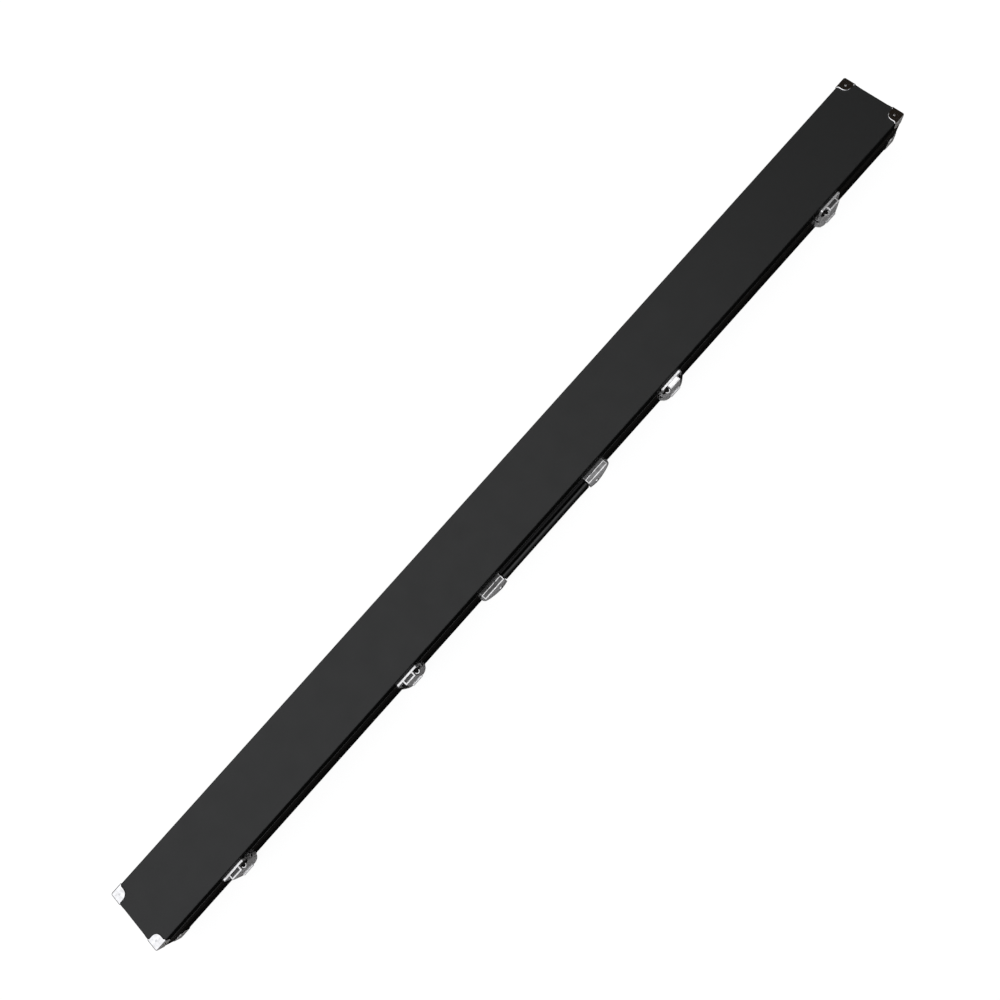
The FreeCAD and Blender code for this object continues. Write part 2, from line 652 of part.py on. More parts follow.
def strap_grip():
    """The right half of the rubber grip, wider at the cap and with rounded long edges."""
    low = STRAP_LOW_Z
    top = STRAP_TOP_Z
    outline = [
        (STRAP_SPLIT, low + STRAP_WAIST),
        (STRAP_WAIST_X, low + STRAP_WAIST),
        (STRAP_FLARE_X, low),
        (STRAP_END_X, low),
        (STRAP_END_X, top),
        (STRAP_FLARE_X, top),
        (STRAP_WAIST_X, top - STRAP_WAIST),
        (STRAP_SPLIT, top - STRAP_WAIST),
    ]
    grip = front_face(outline, STRAP_OUT)
    outer_rim = [e for e in grip.Edges if e.CenterOfMass.y < -HALF_W - STRAP_OUT[1] + 0.01]
    outer_rim = [e for e in outer_rim if e.CenterOfMass.x > STRAP_SPLIT + 1]
    grip = grip.makeFillet(STRAP_R, outer_rim)
    return grip.cut(front((0, STRAP_END_X + 1), CORE_OUT, CORE_Z))


def make_handle():
    cap = handle_cap()
    grip = strap_grip()
    core = strap_core()
    screw = handle_screw()
    nodes["handle_cap_right"] = cap
    nodes["handle_cap_left"] = mirrored(cap)
    nodes["handle_grip_right"] = grip
    nodes["handle_grip_left"] = mirrored(grip)
    nodes["handle_core_right"] = core
    nodes["handle_core_left"] = mirrored(core)
    nodes["handle_screws"] = Part.makeCompound([screw, mirrored(screw)])
    for name, shape in nodes.items():
        if name.startswith("handle"):
            shape.translate(Vec(HANDLE_X, 0, 0))


# ---- rivets ---------------------------------------------------------------------------------
def corner_rivets(z):
    """One rivet in each side leaf at every corner of one half."""
    heads = []
    inset = LEAF / 2
    for x_sign in (-1, 1):
        for y_sign in (-1, 1):
            x = x_sign * (LENGTH / 2 - inset)
            y = y_sign * (WIDTH / 2 - inset)
            heads.append(rivet((x, y_sign * WIDTH / 2, z), (0, y_sign, 0)))
            heads.append(rivet((x_sign * LENGTH / 2, y, z), (x_sign, 0, 0)))
    return heads


def hinge_rivets(z):
    return [
        rivet((centre + offset, HALF_W + HINGE_T, z), (0, 1, 0))
        for centre in HINGE_X
        for offset in (-HINGE_RIVET_X, HINGE_RIVET_X)
    ]


def latch_rivets(offset, z):
    return [
        rivet((centre + side * offset, -HALF_W - SHEET, z), (0, -1, 0))
        for centre in LATCH_X
        for side in (-1, 1)
    ]


def make_rivets():
    base_heads = corner_rivets(LEAF / 2) + hinge_rivets(HINGE_RIVET_Z[0]) + latch_rivets(*LOCK_RIVET)
    lid_heads = corner_rivets(HEIGHT - LEAF / 2) + hinge_rivets(HINGE_RIVET_Z[1])
    lid_heads += latch_rivets(*KEEPER_RIVET)
    for x_sign in (-1, 1):
        for y_sign in (-1, 1):
            spot = (x_sign * (LENGTH - LEAF) / 2, y_sign * (WIDTH - LEAF) / 2, HEIGHT)
            lid_heads.append(rivet(spot, (0, 0, 1), FLAT_RIVET_H))
    nodes["base_rivets"] = Part.makeCompound(base_heads)
    nodes["lid_rivets"] = Part.makeCompound(lid_heads)


make_base_shell()
make_lid_shell()
make_cradles()
make_corners()
make_hinges()
make_latches()
make_handle()
make_rivets()

os.makedirs("parts", exist_ok=True)
for name, shape in nodes.items():
    shape.translate(Vec(0, FRAME_SHIFT_Y, 0))
    shape.exportStep("parts/" + name + ".step")
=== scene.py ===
import itertools
import math
from collections import namedtuple

import bmesh
import bpy
from mathutils import Matrix, Vector, noise


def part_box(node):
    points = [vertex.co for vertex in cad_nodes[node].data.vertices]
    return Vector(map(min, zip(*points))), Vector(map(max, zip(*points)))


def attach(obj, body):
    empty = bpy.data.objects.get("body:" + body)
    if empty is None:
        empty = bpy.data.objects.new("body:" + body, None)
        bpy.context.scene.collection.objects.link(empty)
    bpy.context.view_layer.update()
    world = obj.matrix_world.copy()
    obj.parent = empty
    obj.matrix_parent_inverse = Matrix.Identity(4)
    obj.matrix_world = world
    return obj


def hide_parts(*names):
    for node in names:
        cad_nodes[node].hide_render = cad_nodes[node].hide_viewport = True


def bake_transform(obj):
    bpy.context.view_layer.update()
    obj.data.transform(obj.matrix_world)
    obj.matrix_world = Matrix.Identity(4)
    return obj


# Cue case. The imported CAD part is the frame; lengths below are in millimetres unless they say metres.
MM = 0.001
TO_METRES = Matrix.Diagonal((MM, MM, MM, 1))

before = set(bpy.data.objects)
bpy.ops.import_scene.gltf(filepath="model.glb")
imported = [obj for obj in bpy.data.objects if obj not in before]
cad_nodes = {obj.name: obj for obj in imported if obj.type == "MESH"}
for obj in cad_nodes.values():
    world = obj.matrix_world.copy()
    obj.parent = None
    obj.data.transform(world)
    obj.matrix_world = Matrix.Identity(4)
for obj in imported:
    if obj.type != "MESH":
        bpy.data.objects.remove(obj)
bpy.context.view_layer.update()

# ---- Places read from the frame, in millimetres ----


def node_box(name):
    low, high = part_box(name)
    return low / MM, high / MM


SHELL_LOW = node_box("base_cover")[0]
SHELL_HIGH = node_box("lid_cover")[1]
WALL_FRONT = SHELL_LOW.y
WALL_BACK = SHELL_HIGH.y
MID_Y = (WALL_FRONT + WALL_BACK) / 2
TOP_Z = node_box("lid_corner_front_left")[1].z

# ---- Sizes of details that the frame doesn't give ----
SHELL_R = 2.0                  # rounding of the covered edges
SHEET = 1.1                    # steel sheet of the latches
VINYL_T = 0.7


# ---- Materials ----
def put(tree, sockets, values):
    """Sets each named socket to a value, or joins it to another node's output."""
    for key, value in values.items():
        if isinstance(value, bpy.types.NodeSocket):
            tree.links.new(value, sockets[key])
        else:
            sockets[key].default_value = value


def new_node(tree, kind, values=None, **settings):
    node = tree.nodes.new("ShaderNode" + kind)
    for name, setting in settings.items():
        setattr(node, name, setting)
    put(tree, node.inputs, values or {})
    return node


class Finish:
    """A procedural material: a Principled shader and short-hands for its textures."""

    def __init__(self, name, metallic=0.0, specular=0.5):
        self.material = bpy.data.materials.new(name)
        self.material.use_nodes = True
        self.tree = self.material.node_tree
        self.shader = self.tree.nodes["Principled BSDF"]
        self.put({"Metallic": metallic, "Specular IOR Level": specular})
        self.place = self.node("TexCoord").outputs["Object"]

    def put(self, values):
        """Sets inputs of the Principled shader."""
        put(self.tree, self.shader.inputs, values)

    def node(self, kind, values=None, **settings):
        return new_node(self.tree, kind, values, **settings)

    def stretched(self, stretch):
        return self.node("Mapping", {"Scale": stretch, "Vector": self.place}).outputs["Vector"]

    def noise(self, size, detail=3.0, stretch=(1, 1, 1), distortion=0.0):
        """Fractal noise whose largest lumps are about size millimetres."""
        values = {"Scale": 1000 / size, "Detail": detail, "Distortion": distortion}
        return self.node("TexNoise", {**values, "Vector": self.stretched(stretch)}).outputs["Fac"]

    def cells(self, size, stretch=(1, 1, 1)):
        """Distance to the nearest of scattered points that are about size millimetres apart."""
        values = {"Scale": 1000 / size, "Vector": self.stretched(stretch)}
        return self.node("TexVoronoi", values).outputs["Distance"]

    def attribute(self, name):
        return self.node("Attribute", attribute_name=name).outputs["Fac"]

    def span(self, value, source, target):
        """value moved from the source range to the target range, clamped."""
        ends = dict(zip(("From Min", "From Max", "To Min", "To Max"), (*source, *target)))
        return self.node("MapRange", {"Value": value, **ends}).outputs["Result"]

    def sum(self, first, second):
        return self.node("Math", {0: first, 1: second}, operation="ADD").outputs[0]

    def product(self, first, second):
        return self.node("Math", {0: first, 1: second}, operation="MULTIPLY").outputs[0]

    def blend(self, share, first, second):
        """Two colours mixed: the first where share is 0, the second where it is 1."""
        first, second = (
            c if isinstance(c, bpy.types.NodeSocket) else (*c, 1.0) for c in (first, second)
        )
        return self.node("Mix", {0: share, 6: first, 7: second}, data_type="RGBA").outputs[2]

    def mottled(self, texture, source, first, second):
        """The first colour where the texture is low in the source range, the second where it is high."""
        return self.blend(self.span(texture, source, (0, 1)), first, second)

    def bump(self, height, depth, strength=1.0):
        """Relief of a height texture, depth millimetres deep, over the relief given before."""
        values = {"Strength": strength, "Distance": depth * MM, "Height": height}
        earlier = self.shader.inputs["Normal"].links
        if earlier:
            values["Normal"] = earlier[0].from_socket
        self.put({"Normal": self.node("Bump", values).outputs["Normal"]})

    def colour(self, value):
        self.put({"Base Color": value})

    def roughness(self, value):
        self.put({"Roughness": value})


def vinyl(name, specular):
    """Black leathercloth: a fine pebbled grain, worn along the edges, with a few specks of dust."""
    f = Finish(name, specular=specular)
    grain = f.cells(0.75)
    fine = f.noise(0.35, 2.0)
    broad = f.noise(220.0, 2.0)
    base = f.mottled(broad, (0.3, 0.7), (0.0032, 0.0036, 0.0034), (0.0042, 0.0047, 0.0044))
    worn = f.product(f.attribute("edge"), f.span(f.noise(9.0, 4.0), (0.42, 0.68), (0, 1)))
    base = f.blend(f.product(worn, 0.5), base, (0.018, 0.018, 0.018))
    dust = f.span(f.cells(26.0), (0.010, 0.018), (0.35, 0.0))
    base = f.blend(dust, base, (0.09, 0.09, 0.085))
    f.colour(base)
    rough = f.span(f.noise(34.0, 4.0), (0.3, 0.7), (0.50, 0.55))
    f.roughness(f.sum(rough, f.product(worn, -0.10)))
    f.bump(grain, 0.08, 0.5)
    f.bump(fine, 0.03, 0.5)
    return f.material


def trim_black(name, specular, rough):
    """Black anodised channel, drawn lengthways."""
    f = Finish(name, specular=specular)
    drawn = f.noise(1.2, 4.0, (0.012, 1, 1))
    cloud = f.noise(45.0, 3.0)
    worn = f.product(f.attribute("edge"), f.span(f.noise(4.0, 4.0), (0.5, 0.7), (0, 1)))
    base = f.mottled(cloud, (0.3, 0.7), (0.004, 0.004, 0.0042), (0.007, 0.007, 0.0072))
    f.colour(f.blend(worn, base, (0.03, 0.03, 0.03)))
    f.roughness(f.span(drawn, (0.3, 0.7), rough))
    f.bump(drawn, 0.02, 0.35)
    return f.material


def plate(name, tone, rough=(0.10, 0.2), pitted=0.0, warm=0.0, metallic=1.0, wave=0.05):
    """Bright plated steel with handling marks, and pits where the plating is poor."""
    f = Finish(name, metallic=metallic)
    stain = f.noise(7.0, 5.0, distortion=0.6)
    hair = f.noise(0.6, 3.0, (1, 0.06, 0.5))
    dull = (tone * 0.72, tone * 0.71, tone * (0.70 - warm))
    clean = (tone, tone * (1 - warm * 0.4), tone * (1 - warm))
    base = f.mottled(stain, (0.42, 0.72), clean, dull)
    if pitted:
        pits = f.span(f.cells(1.3), (0.10, 0.32), (1, 0))
        patch = f.span(f.noise(3.5, 4.0), (0.40, 0.62), (0, 1))
        pits = f.product(pits, patch)
        base = f.blend(f.product(pits, pitted), base, (0.16, 0.155, 0.15))
        f.bump(f.product(pits, -1.0), 0.12, 0.8)
    f.colour(base)
    f.roughness(f.span(stain, (0.3, 0.75), rough))
    f.bump(hair, wave / 4, 0.25)
    f.bump(f.noise(5.0, 2.0), wave, 0.25)
    return f.material


def felt():
    """Black needle felt: matted fibres with a soft sheen."""
    f = Finish("felt", specular=0.2)
    matted = f.noise(1.6, 6.0, distortion=1.4)
    fibre = f.cells(0.5, stretch=(0.4, 1, 1))
    f.colour(f.mottled(matted, (0.3, 0.7), (0.030, 0.030, 0.034), (0.075, 0.075, 0.082)))
    f.roughness(f.span(matted, (0.3, 0.7), (0.85, 0.98)))
    f.put({"Sheen Weight": 0.35, "Sheen Roughness": 0.5})
    f.bump(fibre, 0.2, 0.6)
    f.bump(matted, 0.35, 0.7)
    return f.material


def velvet():
    """Short black pile over foam, brushed in places."""
    f = Finish("velvet", specular=0.25)
    brushed = f.noise(14.0, 4.0, distortion=1.0)
    pile = f.cells(0.35)
    f.colour(f.mottled(brushed, (0.35, 0.65), (0.024, 0.024, 0.029), (0.062, 0.062, 0.072)))
    f.roughness(f.span(brushed, (0.3, 0.7), (0.75, 0.95)))
    f.put({"Sheen Weight": 0.8, "Sheen Roughness": 0.28})
    f.bump(pile, 0.2, 0.6)
    f.bump(brushed, 0.4, 0.4)
    return f.material


def rubber():
    """Satin moulded rubber with a fine spark-eroded texture."""
    f = Finish("rubber", specular=0.5)
    grainy = f.noise(0.5, 3.0)
    bloom = f.noise(18.0, 4.0)
    f.colour(f.mottled(bloom, (0.4, 0.7), (0.003, 0.0032, 0.003), (0.006, 0.0062, 0.006)))
    f.roughness(f.span(bloom, (0.3, 0.7), (0.22, 0.32)))
    f.bump(grainy, 0.05, 0.4)
    return f.material


def shade_black():
    """Painted shade: near-black steel for the insides of the thumb slides and the flat tops of the lock
    cases, standing in for their shade and dark reflections.
    """
    f = Finish("shade_black", metallic=0.3, specular=0.2)
    stain = f.noise(2.0, 4.0)
    f.colour(f.mottled(stain, (0.35, 0.7), (0.004, 0.004, 0.004), (0.022, 0.020, 0.018)))
    f.roughness(f.span(stain, (0.3, 0.7), (0.5, 0.75)))
    f.bump(stain, 0.05, 0.4)
    return f.material


def plywood():
    """Sanded birch plywood."""
    f = Finish("plywood", specular=0.3)
    grain = f.noise(5.0, 6.0, (0.05, 1, 1), 0.8)
    ply = f.noise(1.2, 1.0, (0.02, 0.02, 1))
    wood = f.mottled(grain, (0.3, 0.7), (0.56, 0.40, 0.23), (0.70, 0.55, 0.36))
    f.colour(f.blend(f.span(ply, (0.52, 0.6), (0, 0.5)), wood, (0.36, 0.24, 0.13)))
    f.roughness(f.span(grain, (0.3, 0.7), (0.55, 0.7)))
    f.bump(grain, 0.08, 0.4)
    return f.material


VINYL = vinyl("vinyl", 0.42)
# Painted shade: a copy of the leathercloth with little specular reflection, for the walls, so they show
# darker than the top.
VINYL_WALL = vinyl("vinyl_wall", 0.06)
LID_TRIM = trim_black("lid_trim_black", 0.75, (0.12, 0.2))
BASE_TRIM = trim_black("base_trim_black", 0.05, (0.34, 0.46))
CORNER_PLATE = plate("corner_plate", 0.86, (0.05, 0.12), wave=0.012)
# Painted light: a lighter, more diffuse copy of the corner plating for the leaves on the front wall.
CORNER_SIDE = plate("corner_side", 0.90, (0.12, 0.24), pitted=0.3, warm=0.04, metallic=0.4)
LATCH_PLATE = plate("latch_plate", 0.95, (0.12, 0.22), pitted=0.1, metallic=0.5)
HASP_PLATE = plate("hasp_plate", 0.95, (0.13, 0.26), pitted=0.12, metallic=0.42)
# Painted shade: a dark copy of the hasp plating for the sunk tops of the tilted hasps; the pits are the
# plating's own.
SHADED_HASP_TOP = plate("shaded_hasp_top", 0.16, (0.25, 0.42), pitted=0.6, metallic=0.6)
CAP_PLATE = plate("cap_plate", 0.90, (0.14, 0.26), pitted=0.15, metallic=0.5)
# Painted light and shade: the pitted grey of the caps' sunk tops is the plating's own, but the left top is a
# darker and the right a lighter copy.
CAP_TOPS = {
    "left": plate("cap_top_shaded", 0.14, (0.34, 0.5), pitted=0.8, metallic=0.4),
    "right": plate("cap_top_lit", 0.33, (0.3, 0.45), pitted=0.6, metallic=0.4),
}
HINGE_PLATE = plate("hinge_plate", 0.80, (0.16, 0.28), pitted=0.3, warm=0.05, metallic=0.55)
SCREW_PLATE = plate("screw_plate", 0.95, (0.1, 0.2), metallic=0.85)
# Painted light: a bright, fully mirrored copy of the plating for the sunk top of the level hasp; the pits are
# the plating's own.
LIT_HASP_TOP = plate("lit_hasp_top", 0.97, (0.08, 0.16), pitted=0.5)
RIVET_PLATE = plate("rivet_plate", 0.6, (0.10, 0.2), pitted=0.2)
SPRING_PLATE = plate("spring_plate", 0.45, (0.22, 0.34), warm=0.08)
FELT = felt()
VELVET = velvet()
RUBBER = rubber()
PLYWOOD = plywood()
SHADE_BLACK = shade_black()


# ---- Mesh helpers ----
def linked(name, bm, material):
    mesh = bpy.data.meshes.new(name)
    bm.to_mesh(mesh)
    bm.free()
    piece = bpy.data.objects.new(name, mesh)
    bpy.context.scene.collection.objects.link(piece)
    mesh.materials.append(material)
    return piece


def baked(piece):
    """The piece's modifiers applied to its mesh."""
    graph = bpy.context.evaluated_depsgraph_get()
    mesh = bpy.data.meshes.new_from_object(piece.evaluated_get(graph), depsgraph=graph)
    old = piece.data
    piece.modifiers.clear()
    piece.data = mesh
    bpy.data.meshes.remove(old)
    mesh.name = piece.name
    return piece


def smoothed(piece, angle):
    """Smooth shading, with sharp edges where two faces meet at more than the angle."""
    bm = bmesh.new()
    bm.from_mesh(piece.data)
    for face in bm.faces:
        face.smooth = True
    for edge in bm.edges:
        edge.smooth = edge.calc_face_angle(0) < math.radians(angle)
    bm.to_mesh(piece.data)
    bm.free()


def finished(piece, body, replaced, width=0.25, segments=2, angle=35, smooth=40):
    """Rounds the edges, sets the shading and puts the piece on its body."""
    if width:
        bevel = piece.modifiers.new("edges", "BEVEL")
        bevel.width = width * MM
        bevel.segments = segments
        bevel.limit_method = "ANGLE"
        bevel.angle_limit = math.radians(angle)
        bevel.miter_outer = "MITER_ARC"
        baked(piece)
    smoothed(piece, smooth)
    weighted = piece.modifiers.new("weighted", "WEIGHTED_NORMAL")
    weighted.keep_sharp = True
    baked(piece)
    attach(piece, body)
    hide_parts(*replaced)


def thickened(piece, thickness):
    solid = piece.modifiers.new("sheet", "SOLIDIFY")
    solid.thickness = thickness * MM
    solid.offset = -1
    solid.use_even_offset = True
    return baked(piece)


def discarded(piece):
    mesh = piece.data
    bpy.data.objects.remove(piece)
    bpy.data.meshes.remove(mesh)


def cut(piece, bm, matrix, operation="DIFFERENCE"):
    """Takes the placed solid away from the piece, or adds it."""
    cutter = linked("cutter", placed(bm, matrix), piece.data.materials[0])
    boolean = piece.modifiers.new("cut", "BOOLEAN")
    boolean.operation = operation
    boolean.solver = "EXACT"
    boolean.object = cutter
    baked(piece)
    discarded(cutter)


def joined(target, other):
    """other's geometry added to target; both are bmesh."""
    mesh = bpy.data.meshes.new("joint")
    other.to_mesh(mesh)
    other.free()
    target.from_mesh(mesh)
    bpy.data.meshes.remove(mesh)
    return target


def merged(parts):
    first = parts[0]
    for part in parts[1:]:
        joined(first, part)
    return first


def placed(bm, matrix):
    """bm moved by the matrix, its faces still turned outwards if that mirrors it."""
    bm.transform(matrix)
    if matrix.determinant() < 0:
        bmesh.ops.reverse_faces(bm, faces=bm.faces)
    return bm


def block(x, y, z):
    """A box from three (low, high) pairs."""
    bm = bmesh.new()
    bmesh.ops.create_cube(bm, size=1.0)
    size = [high - low for low, high in (x, y, z)]
    middle = [(high + low) / 2 for low, high in (x, y, z)]
    bm.transform(Matrix.Translation(middle) @ Matrix.Diagonal((*size, 1.0)))
    return bm


def loft(rings, looped=False):
    """Quads between rings of equally many points; unless they form a loop, the end rings are filled."""
    bm = bmesh.new()
    rows = [[bm.verts.new(point) for point in ring] for ring in rings]
    pairs = list(zip(rows, rows[1:]))
    if looped:
        pairs.append((rows[-1], rows[0]))
    for first, second in pairs:
        count = len(first)
        for i in range(count):
            j = (i + 1) % count
            bm.faces.new((first[i], first[j], second[j], second[i]))
    if not looped:
        bm.faces.new(rows[0][::-1])
        bm.faces.new(rows[-1])
    bmesh.ops.remove_doubles(bm, verts=bm.verts, dist=1e-5)
    bmesh.ops.recalc_face_normals(bm, faces=bm.faces)
    return bm


def prism(outline, low, high, axis):
    """An outline swept along one axis; its points are given in the other two axes, in order."""
    def ring(level):
        return [Vector((*p[:axis], level, *p[axis:])) for p in outline]
    return loft([ring(low), ring(high)])


def lathe(profile, segments=20):
    """A turned solid about Z; the profile's points are (radius, height), from end to end."""
    angles = [2 * math.pi * k / segments for k in range(segments)]
    return loft([[Vector((r * math.cos(a), r * math.sin(a), h)) for a in angles] for r, h in profile])


def rounded_outline(corners, radii, steps=5):
    """A closed outline with its corners rounded; one radius for each corner."""
    points = []
    count = len(corners)
    for i, (corner, radius) in enumerate(zip(corners, radii)):
        here = Vector(corner)
        before = Vector(corners[i - 1]) - here
        after = Vector(corners[(i + 1) % count]) - here
        if radius <= 0:
            points.append(here)
            continue
        half = before.angle(after) / 2
        reach = radius / math.tan(half)
        start = here + before.normalized() * reach
        inwards = (before.normalized() + after.normalized()).normalized()
        centre = here + inwards * radius / math.sin(half)
        end = here + after.normalized() * reach
        first = start - centre
        turn = first.angle_signed(end - centre)
        for k in range(steps + 1):
            a = -turn * k / steps
            c, s = math.cos(a), math.sin(a)
            points.append(centre + Vector((first.x * c - first.y * s, first.x * s + first.y * c)))
    return points


def face_like(bm, normal):
    """The largest face that points along a direction."""
    direction = Vector(normal)
    facing = [f for f in bm.faces if f.normal.dot(direction) > 0.98]
    return max(facing, key=lambda f: f.calc_area())


def sunk(bm, normal, rim, depth):
    """The face towards normal becomes the floor of a recess inside a rim, and is returned."""
    face = face_like(bm, normal)
    bmesh.ops.inset_region(bm, faces=[face], thickness=rim, use_even_offset=True)
    bmesh.ops.inset_region(bm, faces=[face], thickness=0.001, use_even_offset=True)
    bmesh.ops.translate(bm, verts=face.verts, vec=Vector(normal) * -depth)
    return face


def painted(piece, material, to_frame, test):
    """Gives the material to the faces whose middle, in the piece's own millimetres, passes the test."""
    piece.data.materials.append(material)
    number = len(piece.data.materials) - 1
    back = to_frame.inverted()
    for polygon in piece.data.polygons:
        if test(back @ polygon.center):
            polygon.material_index = number


def rounded_edges(bm, picked, radius, segments=3):
    bmesh.ops.bevel(bm, geom=picked, offset=radius, segments=segments, profile=0.5, affect="EDGES")


# ---- Vinyl covers ----
LEAST_STEP = 0.05              # grid lines closer than this are one line


def levels(low, high, step, ends=(True, True), extra=()):
    """Grid lines from low to high, close together at the rounded ends, and at the extra places."""
    near = [SHELL_R * share for share in (0, 0.12, 0.3, 0.5, 0.7, 0.88, 1.0)]
    lines = set(extra)
    inner_low, inner_high = low, high
    if ends[0]:
        inner_low += SHELL_R
        lines.update(low + away for away in near)
    if ends[1]:
        inner_high -= SHELL_R
        lines.update(high - away for away in near)
    count = max(1, round((inner_high - inner_low) / step))
    lines.update(inner_low + (inner_high - inner_low) * k / count for k in range(count + 1))
    lines = sorted(lines)
    return [lines[0]] + [b for a, b in zip(lines, lines[1:]) if b - a > LEAST_STEP]


def hugging(point, low, high):
    """Where a point of a sharp box lies once the box's edges are rounded, and the outward normal."""
    inner = Vector([min(max(p, a + SHELL_R), b - SHELL_R) for p, a, b in zip(point, low, high)])
    normal = (point - inner).normalized()
    return inner + normal * SHELL_R, normal


def walled_sheet(box, lines, flat_z, facing, lift):
    """A flat side with four walls that hug a rounded box.

    lines holds the grid lines along each axis; facing is the sign of the flat side's normal in Z;
    lift gives the height of a point over the box. The layer edge is 0 on the flats and 1 on the folds.
    """
    low, high = box
    xs, ys, zs = lines
    bm = bmesh.new()
    worn = bm.verts.layers.float.new("edge")
    made = {}

    def vertex(*corner):
        key = tuple(round(c, 3) for c in corner)
        if key not in made:
            point, normal = hugging(Vector(corner), low, high)
            made[key] = bm.verts.new(point + normal * lift(point, normal))
            fold = sorted(abs(c) for c in normal)[1]
            made[key][worn] = min(1.0, 1.6 * fold) if fold > 0.02 else 0.0
        return made[key]

    def sheet(rows):
        for first, second in zip(rows, rows[1:]):
            for quad in zip(first, first[1:], second[1:], second):
                if len(set(quad)) == 4:
                    bm.faces.new(quad)

    sheet([[vertex(x, y, flat_z) for x in xs] for y in ys])
    for y in (low.y, high.y):
        sheet([[vertex(x, y, z) for x in xs] for z in zs])
    for x in (low.x, high.x):
        sheet([[vertex(x, y, z) for y in ys] for z in zs])
    bmesh.ops.recalc_face_normals(bm, faces=bm.faces)
    bm.normal_update()
    flat = max((f for f in bm.faces if abs(f.normal.z) > 0.98), key=lambda f: f.calc_area())
    if flat.normal.z * facing < 0:
        bmesh.ops.reverse_faces(bm, faces=bm.faces)
    bm.transform(TO_METRES)
    return bm


SEAM_Y = 24.0                  # lap seams on the ends of the box
SEAM_HALF_W = 0.25
LAP = 0.35
COVER_REACH = 50               # the rounded box of one half goes on this far past its open edge


def cover(name, node, body):
    """Leathercloth over one half of the case: a flat side and four walls, folded over at the ends."""
    top = body == "lid"
    low_z, high_z = (corner.z for corner in node_box(node))
    low = Vector((SHELL_LOW.x, WALL_FRONT, low_z - COVER_REACH if top else low_z))
    high = Vector((SHELL_HIGH.x, WALL_BACK, high_z if top else high_z + COVER_REACH))
    seams = [MID_Y + s * (SEAM_Y + d) for s in (-1, 1) for d in (-SEAM_HALF_W, 0.0, SEAM_HALF_W)]
    lines = (
        levels(low.x, high.x, 7.0),
        levels(low.y, high.y, 6.0, extra=seams),
        levels(low_z, high_z, 4.0, ends=(not top, top)),
    )

    def lift(point, normal):
        height = 0.07 * noise.noise(point / 42) + 0.03 * noise.noise(point / 11 + Vector((7, 3, 1)))
        if abs(normal.x) > 0.9:
            past_seam = abs(point.y - MID_Y) - SEAM_Y + SEAM_HALF_W
            height += LAP * min(1, max(0, past_seam / (2 * SEAM_HALF_W)))
        return height - 0.05

    bm = walled_sheet((low, high), lines, high_z if top else low_z, 1 if top else -1, lift)
    piece = linked(name, bm, VINYL)
    thickened(piece, VINYL_T)
    # Painted shade: faces of the walls take the leathercloth copy with little reflection.
    piece.data.materials.append(VINYL_WALL)
    for polygon in piece.data.polygons:
        polygon.material_index = int(abs(polygon.normal.z) < 0.5)
    finished(piece, body, (node,), width=0)


cover("base_leathercloth", "base_cover", "base")
cover("lid_leathercloth", "lid_cover", "lid")


# ---- Edge trims ----
TRIM_PROUD = 0.25              # how far the channel stands out from the cover
TRIM_OUTER_T = 0.7             # thickness of its outer leg under the wall's face
TRIM_WALL = 5.8                # depth of its inner face behind the wall
TRIM_LEG = 1.0
TRIM_LEG_H = 5.0
TRIM_WEB = 1.4
TRIM_STEP = 12
TRIM_WORN_W = 1.5              # the strip of the rim that is worn, and its height
TRIM_WORN_H = 0.8
MITRE_HALF_GAP = 0.06
MITRE = math.radians(45)


def trim_length(section, along, across):
    """One length of channel along X on the -Y side, mitred at both of its rounded ends."""
    reach = along - SHELL_R
    count = max(4, round(along / TRIM_STEP))
    path = [(-1, MITRE * (1 - k / 3), -reach) for k in range(4)]
    path += [(0, 0.0, (2 * k / count - 1) * reach) for k in range(1, count)]
    path += [(1, MITRE * k / 3, reach) for k in range(4)]
    rings = []
    for side, angle, centre in path:
        ring = []
        for n, z in section:
            radius = SHELL_R + n
            if side and radius <= 0:
                ring.append(Vector((side * (along + n), -(across + n), z)))
            else:
                x = centre + side * radius * math.sin(angle)
                ring.append(Vector((x, -(across - SHELL_R + radius * math.cos(angle)), z)))
        rings.append(ring)
    for ring, inwards in ((rings[0], 1), (rings[-1], -1)):
        for point in ring:
            point.x += inwards * MITRE_HALF_GAP
    return loft(rings)


def trim(name, node, body, material):
    """Four lengths of channel over an open edge, their section drawn outwards and upwards."""
    low, high = node_box(node)
    rim, far, up = (low.z, high.z, -1) if body == "lid" else (high.z, low.z, 1)
    web = rim - up * TRIM_WEB
    leg_end = web - up * TRIM_LEG_H
    leg = TRIM_LEG - TRIM_WALL
    corners = [
        (TRIM_PROUD, far), (TRIM_PROUD, rim), (-TRIM_WALL, rim), (-TRIM_WALL, leg_end),
        (leg, leg_end), (leg, web), (-TRIM_OUTER_T, web), (-TRIM_OUTER_T, far),
    ]
    section = rounded_outline(corners, (0.35, 0.7, 0.5, 0.3, 0.3, 0, 0, 0), 3)
    half_x = SHELL_HIGH.x
    half_y = (WALL_BACK - WALL_FRONT) / 2
    parts = []
    for turn, (along, across) in enumerate(((half_x, half_y), (half_y, half_x)) * 2):
        length = trim_length(section, along, across)
        parts.append(placed(length, Matrix.Rotation(math.pi / 2 * turn, 4, "Z")))
    bm = merged(parts)
    worn = bm.verts.layers.float.new("edge")
    for vert in bm.verts:
        out = max(abs(vert.co.x) - half_x, abs(vert.co.y) - half_y)
        on_rim = abs(vert.co.z - rim) < TRIM_WORN_H
        vert[worn] = float(on_rim and -TRIM_WORN_W < out < TRIM_PROUD - 0.01)
    bm.transform(TO_METRES @ Matrix.Translation((0, MID_Y, 0)))
    finished(linked(name, bm, material), body, (node,), width=0)


trim("base_channel_trim", "base_edge_trim", "base", BASE_TRIM)
trim("lid_channel_trim", "lid_edge_trim", "lid", LID_TRIM)


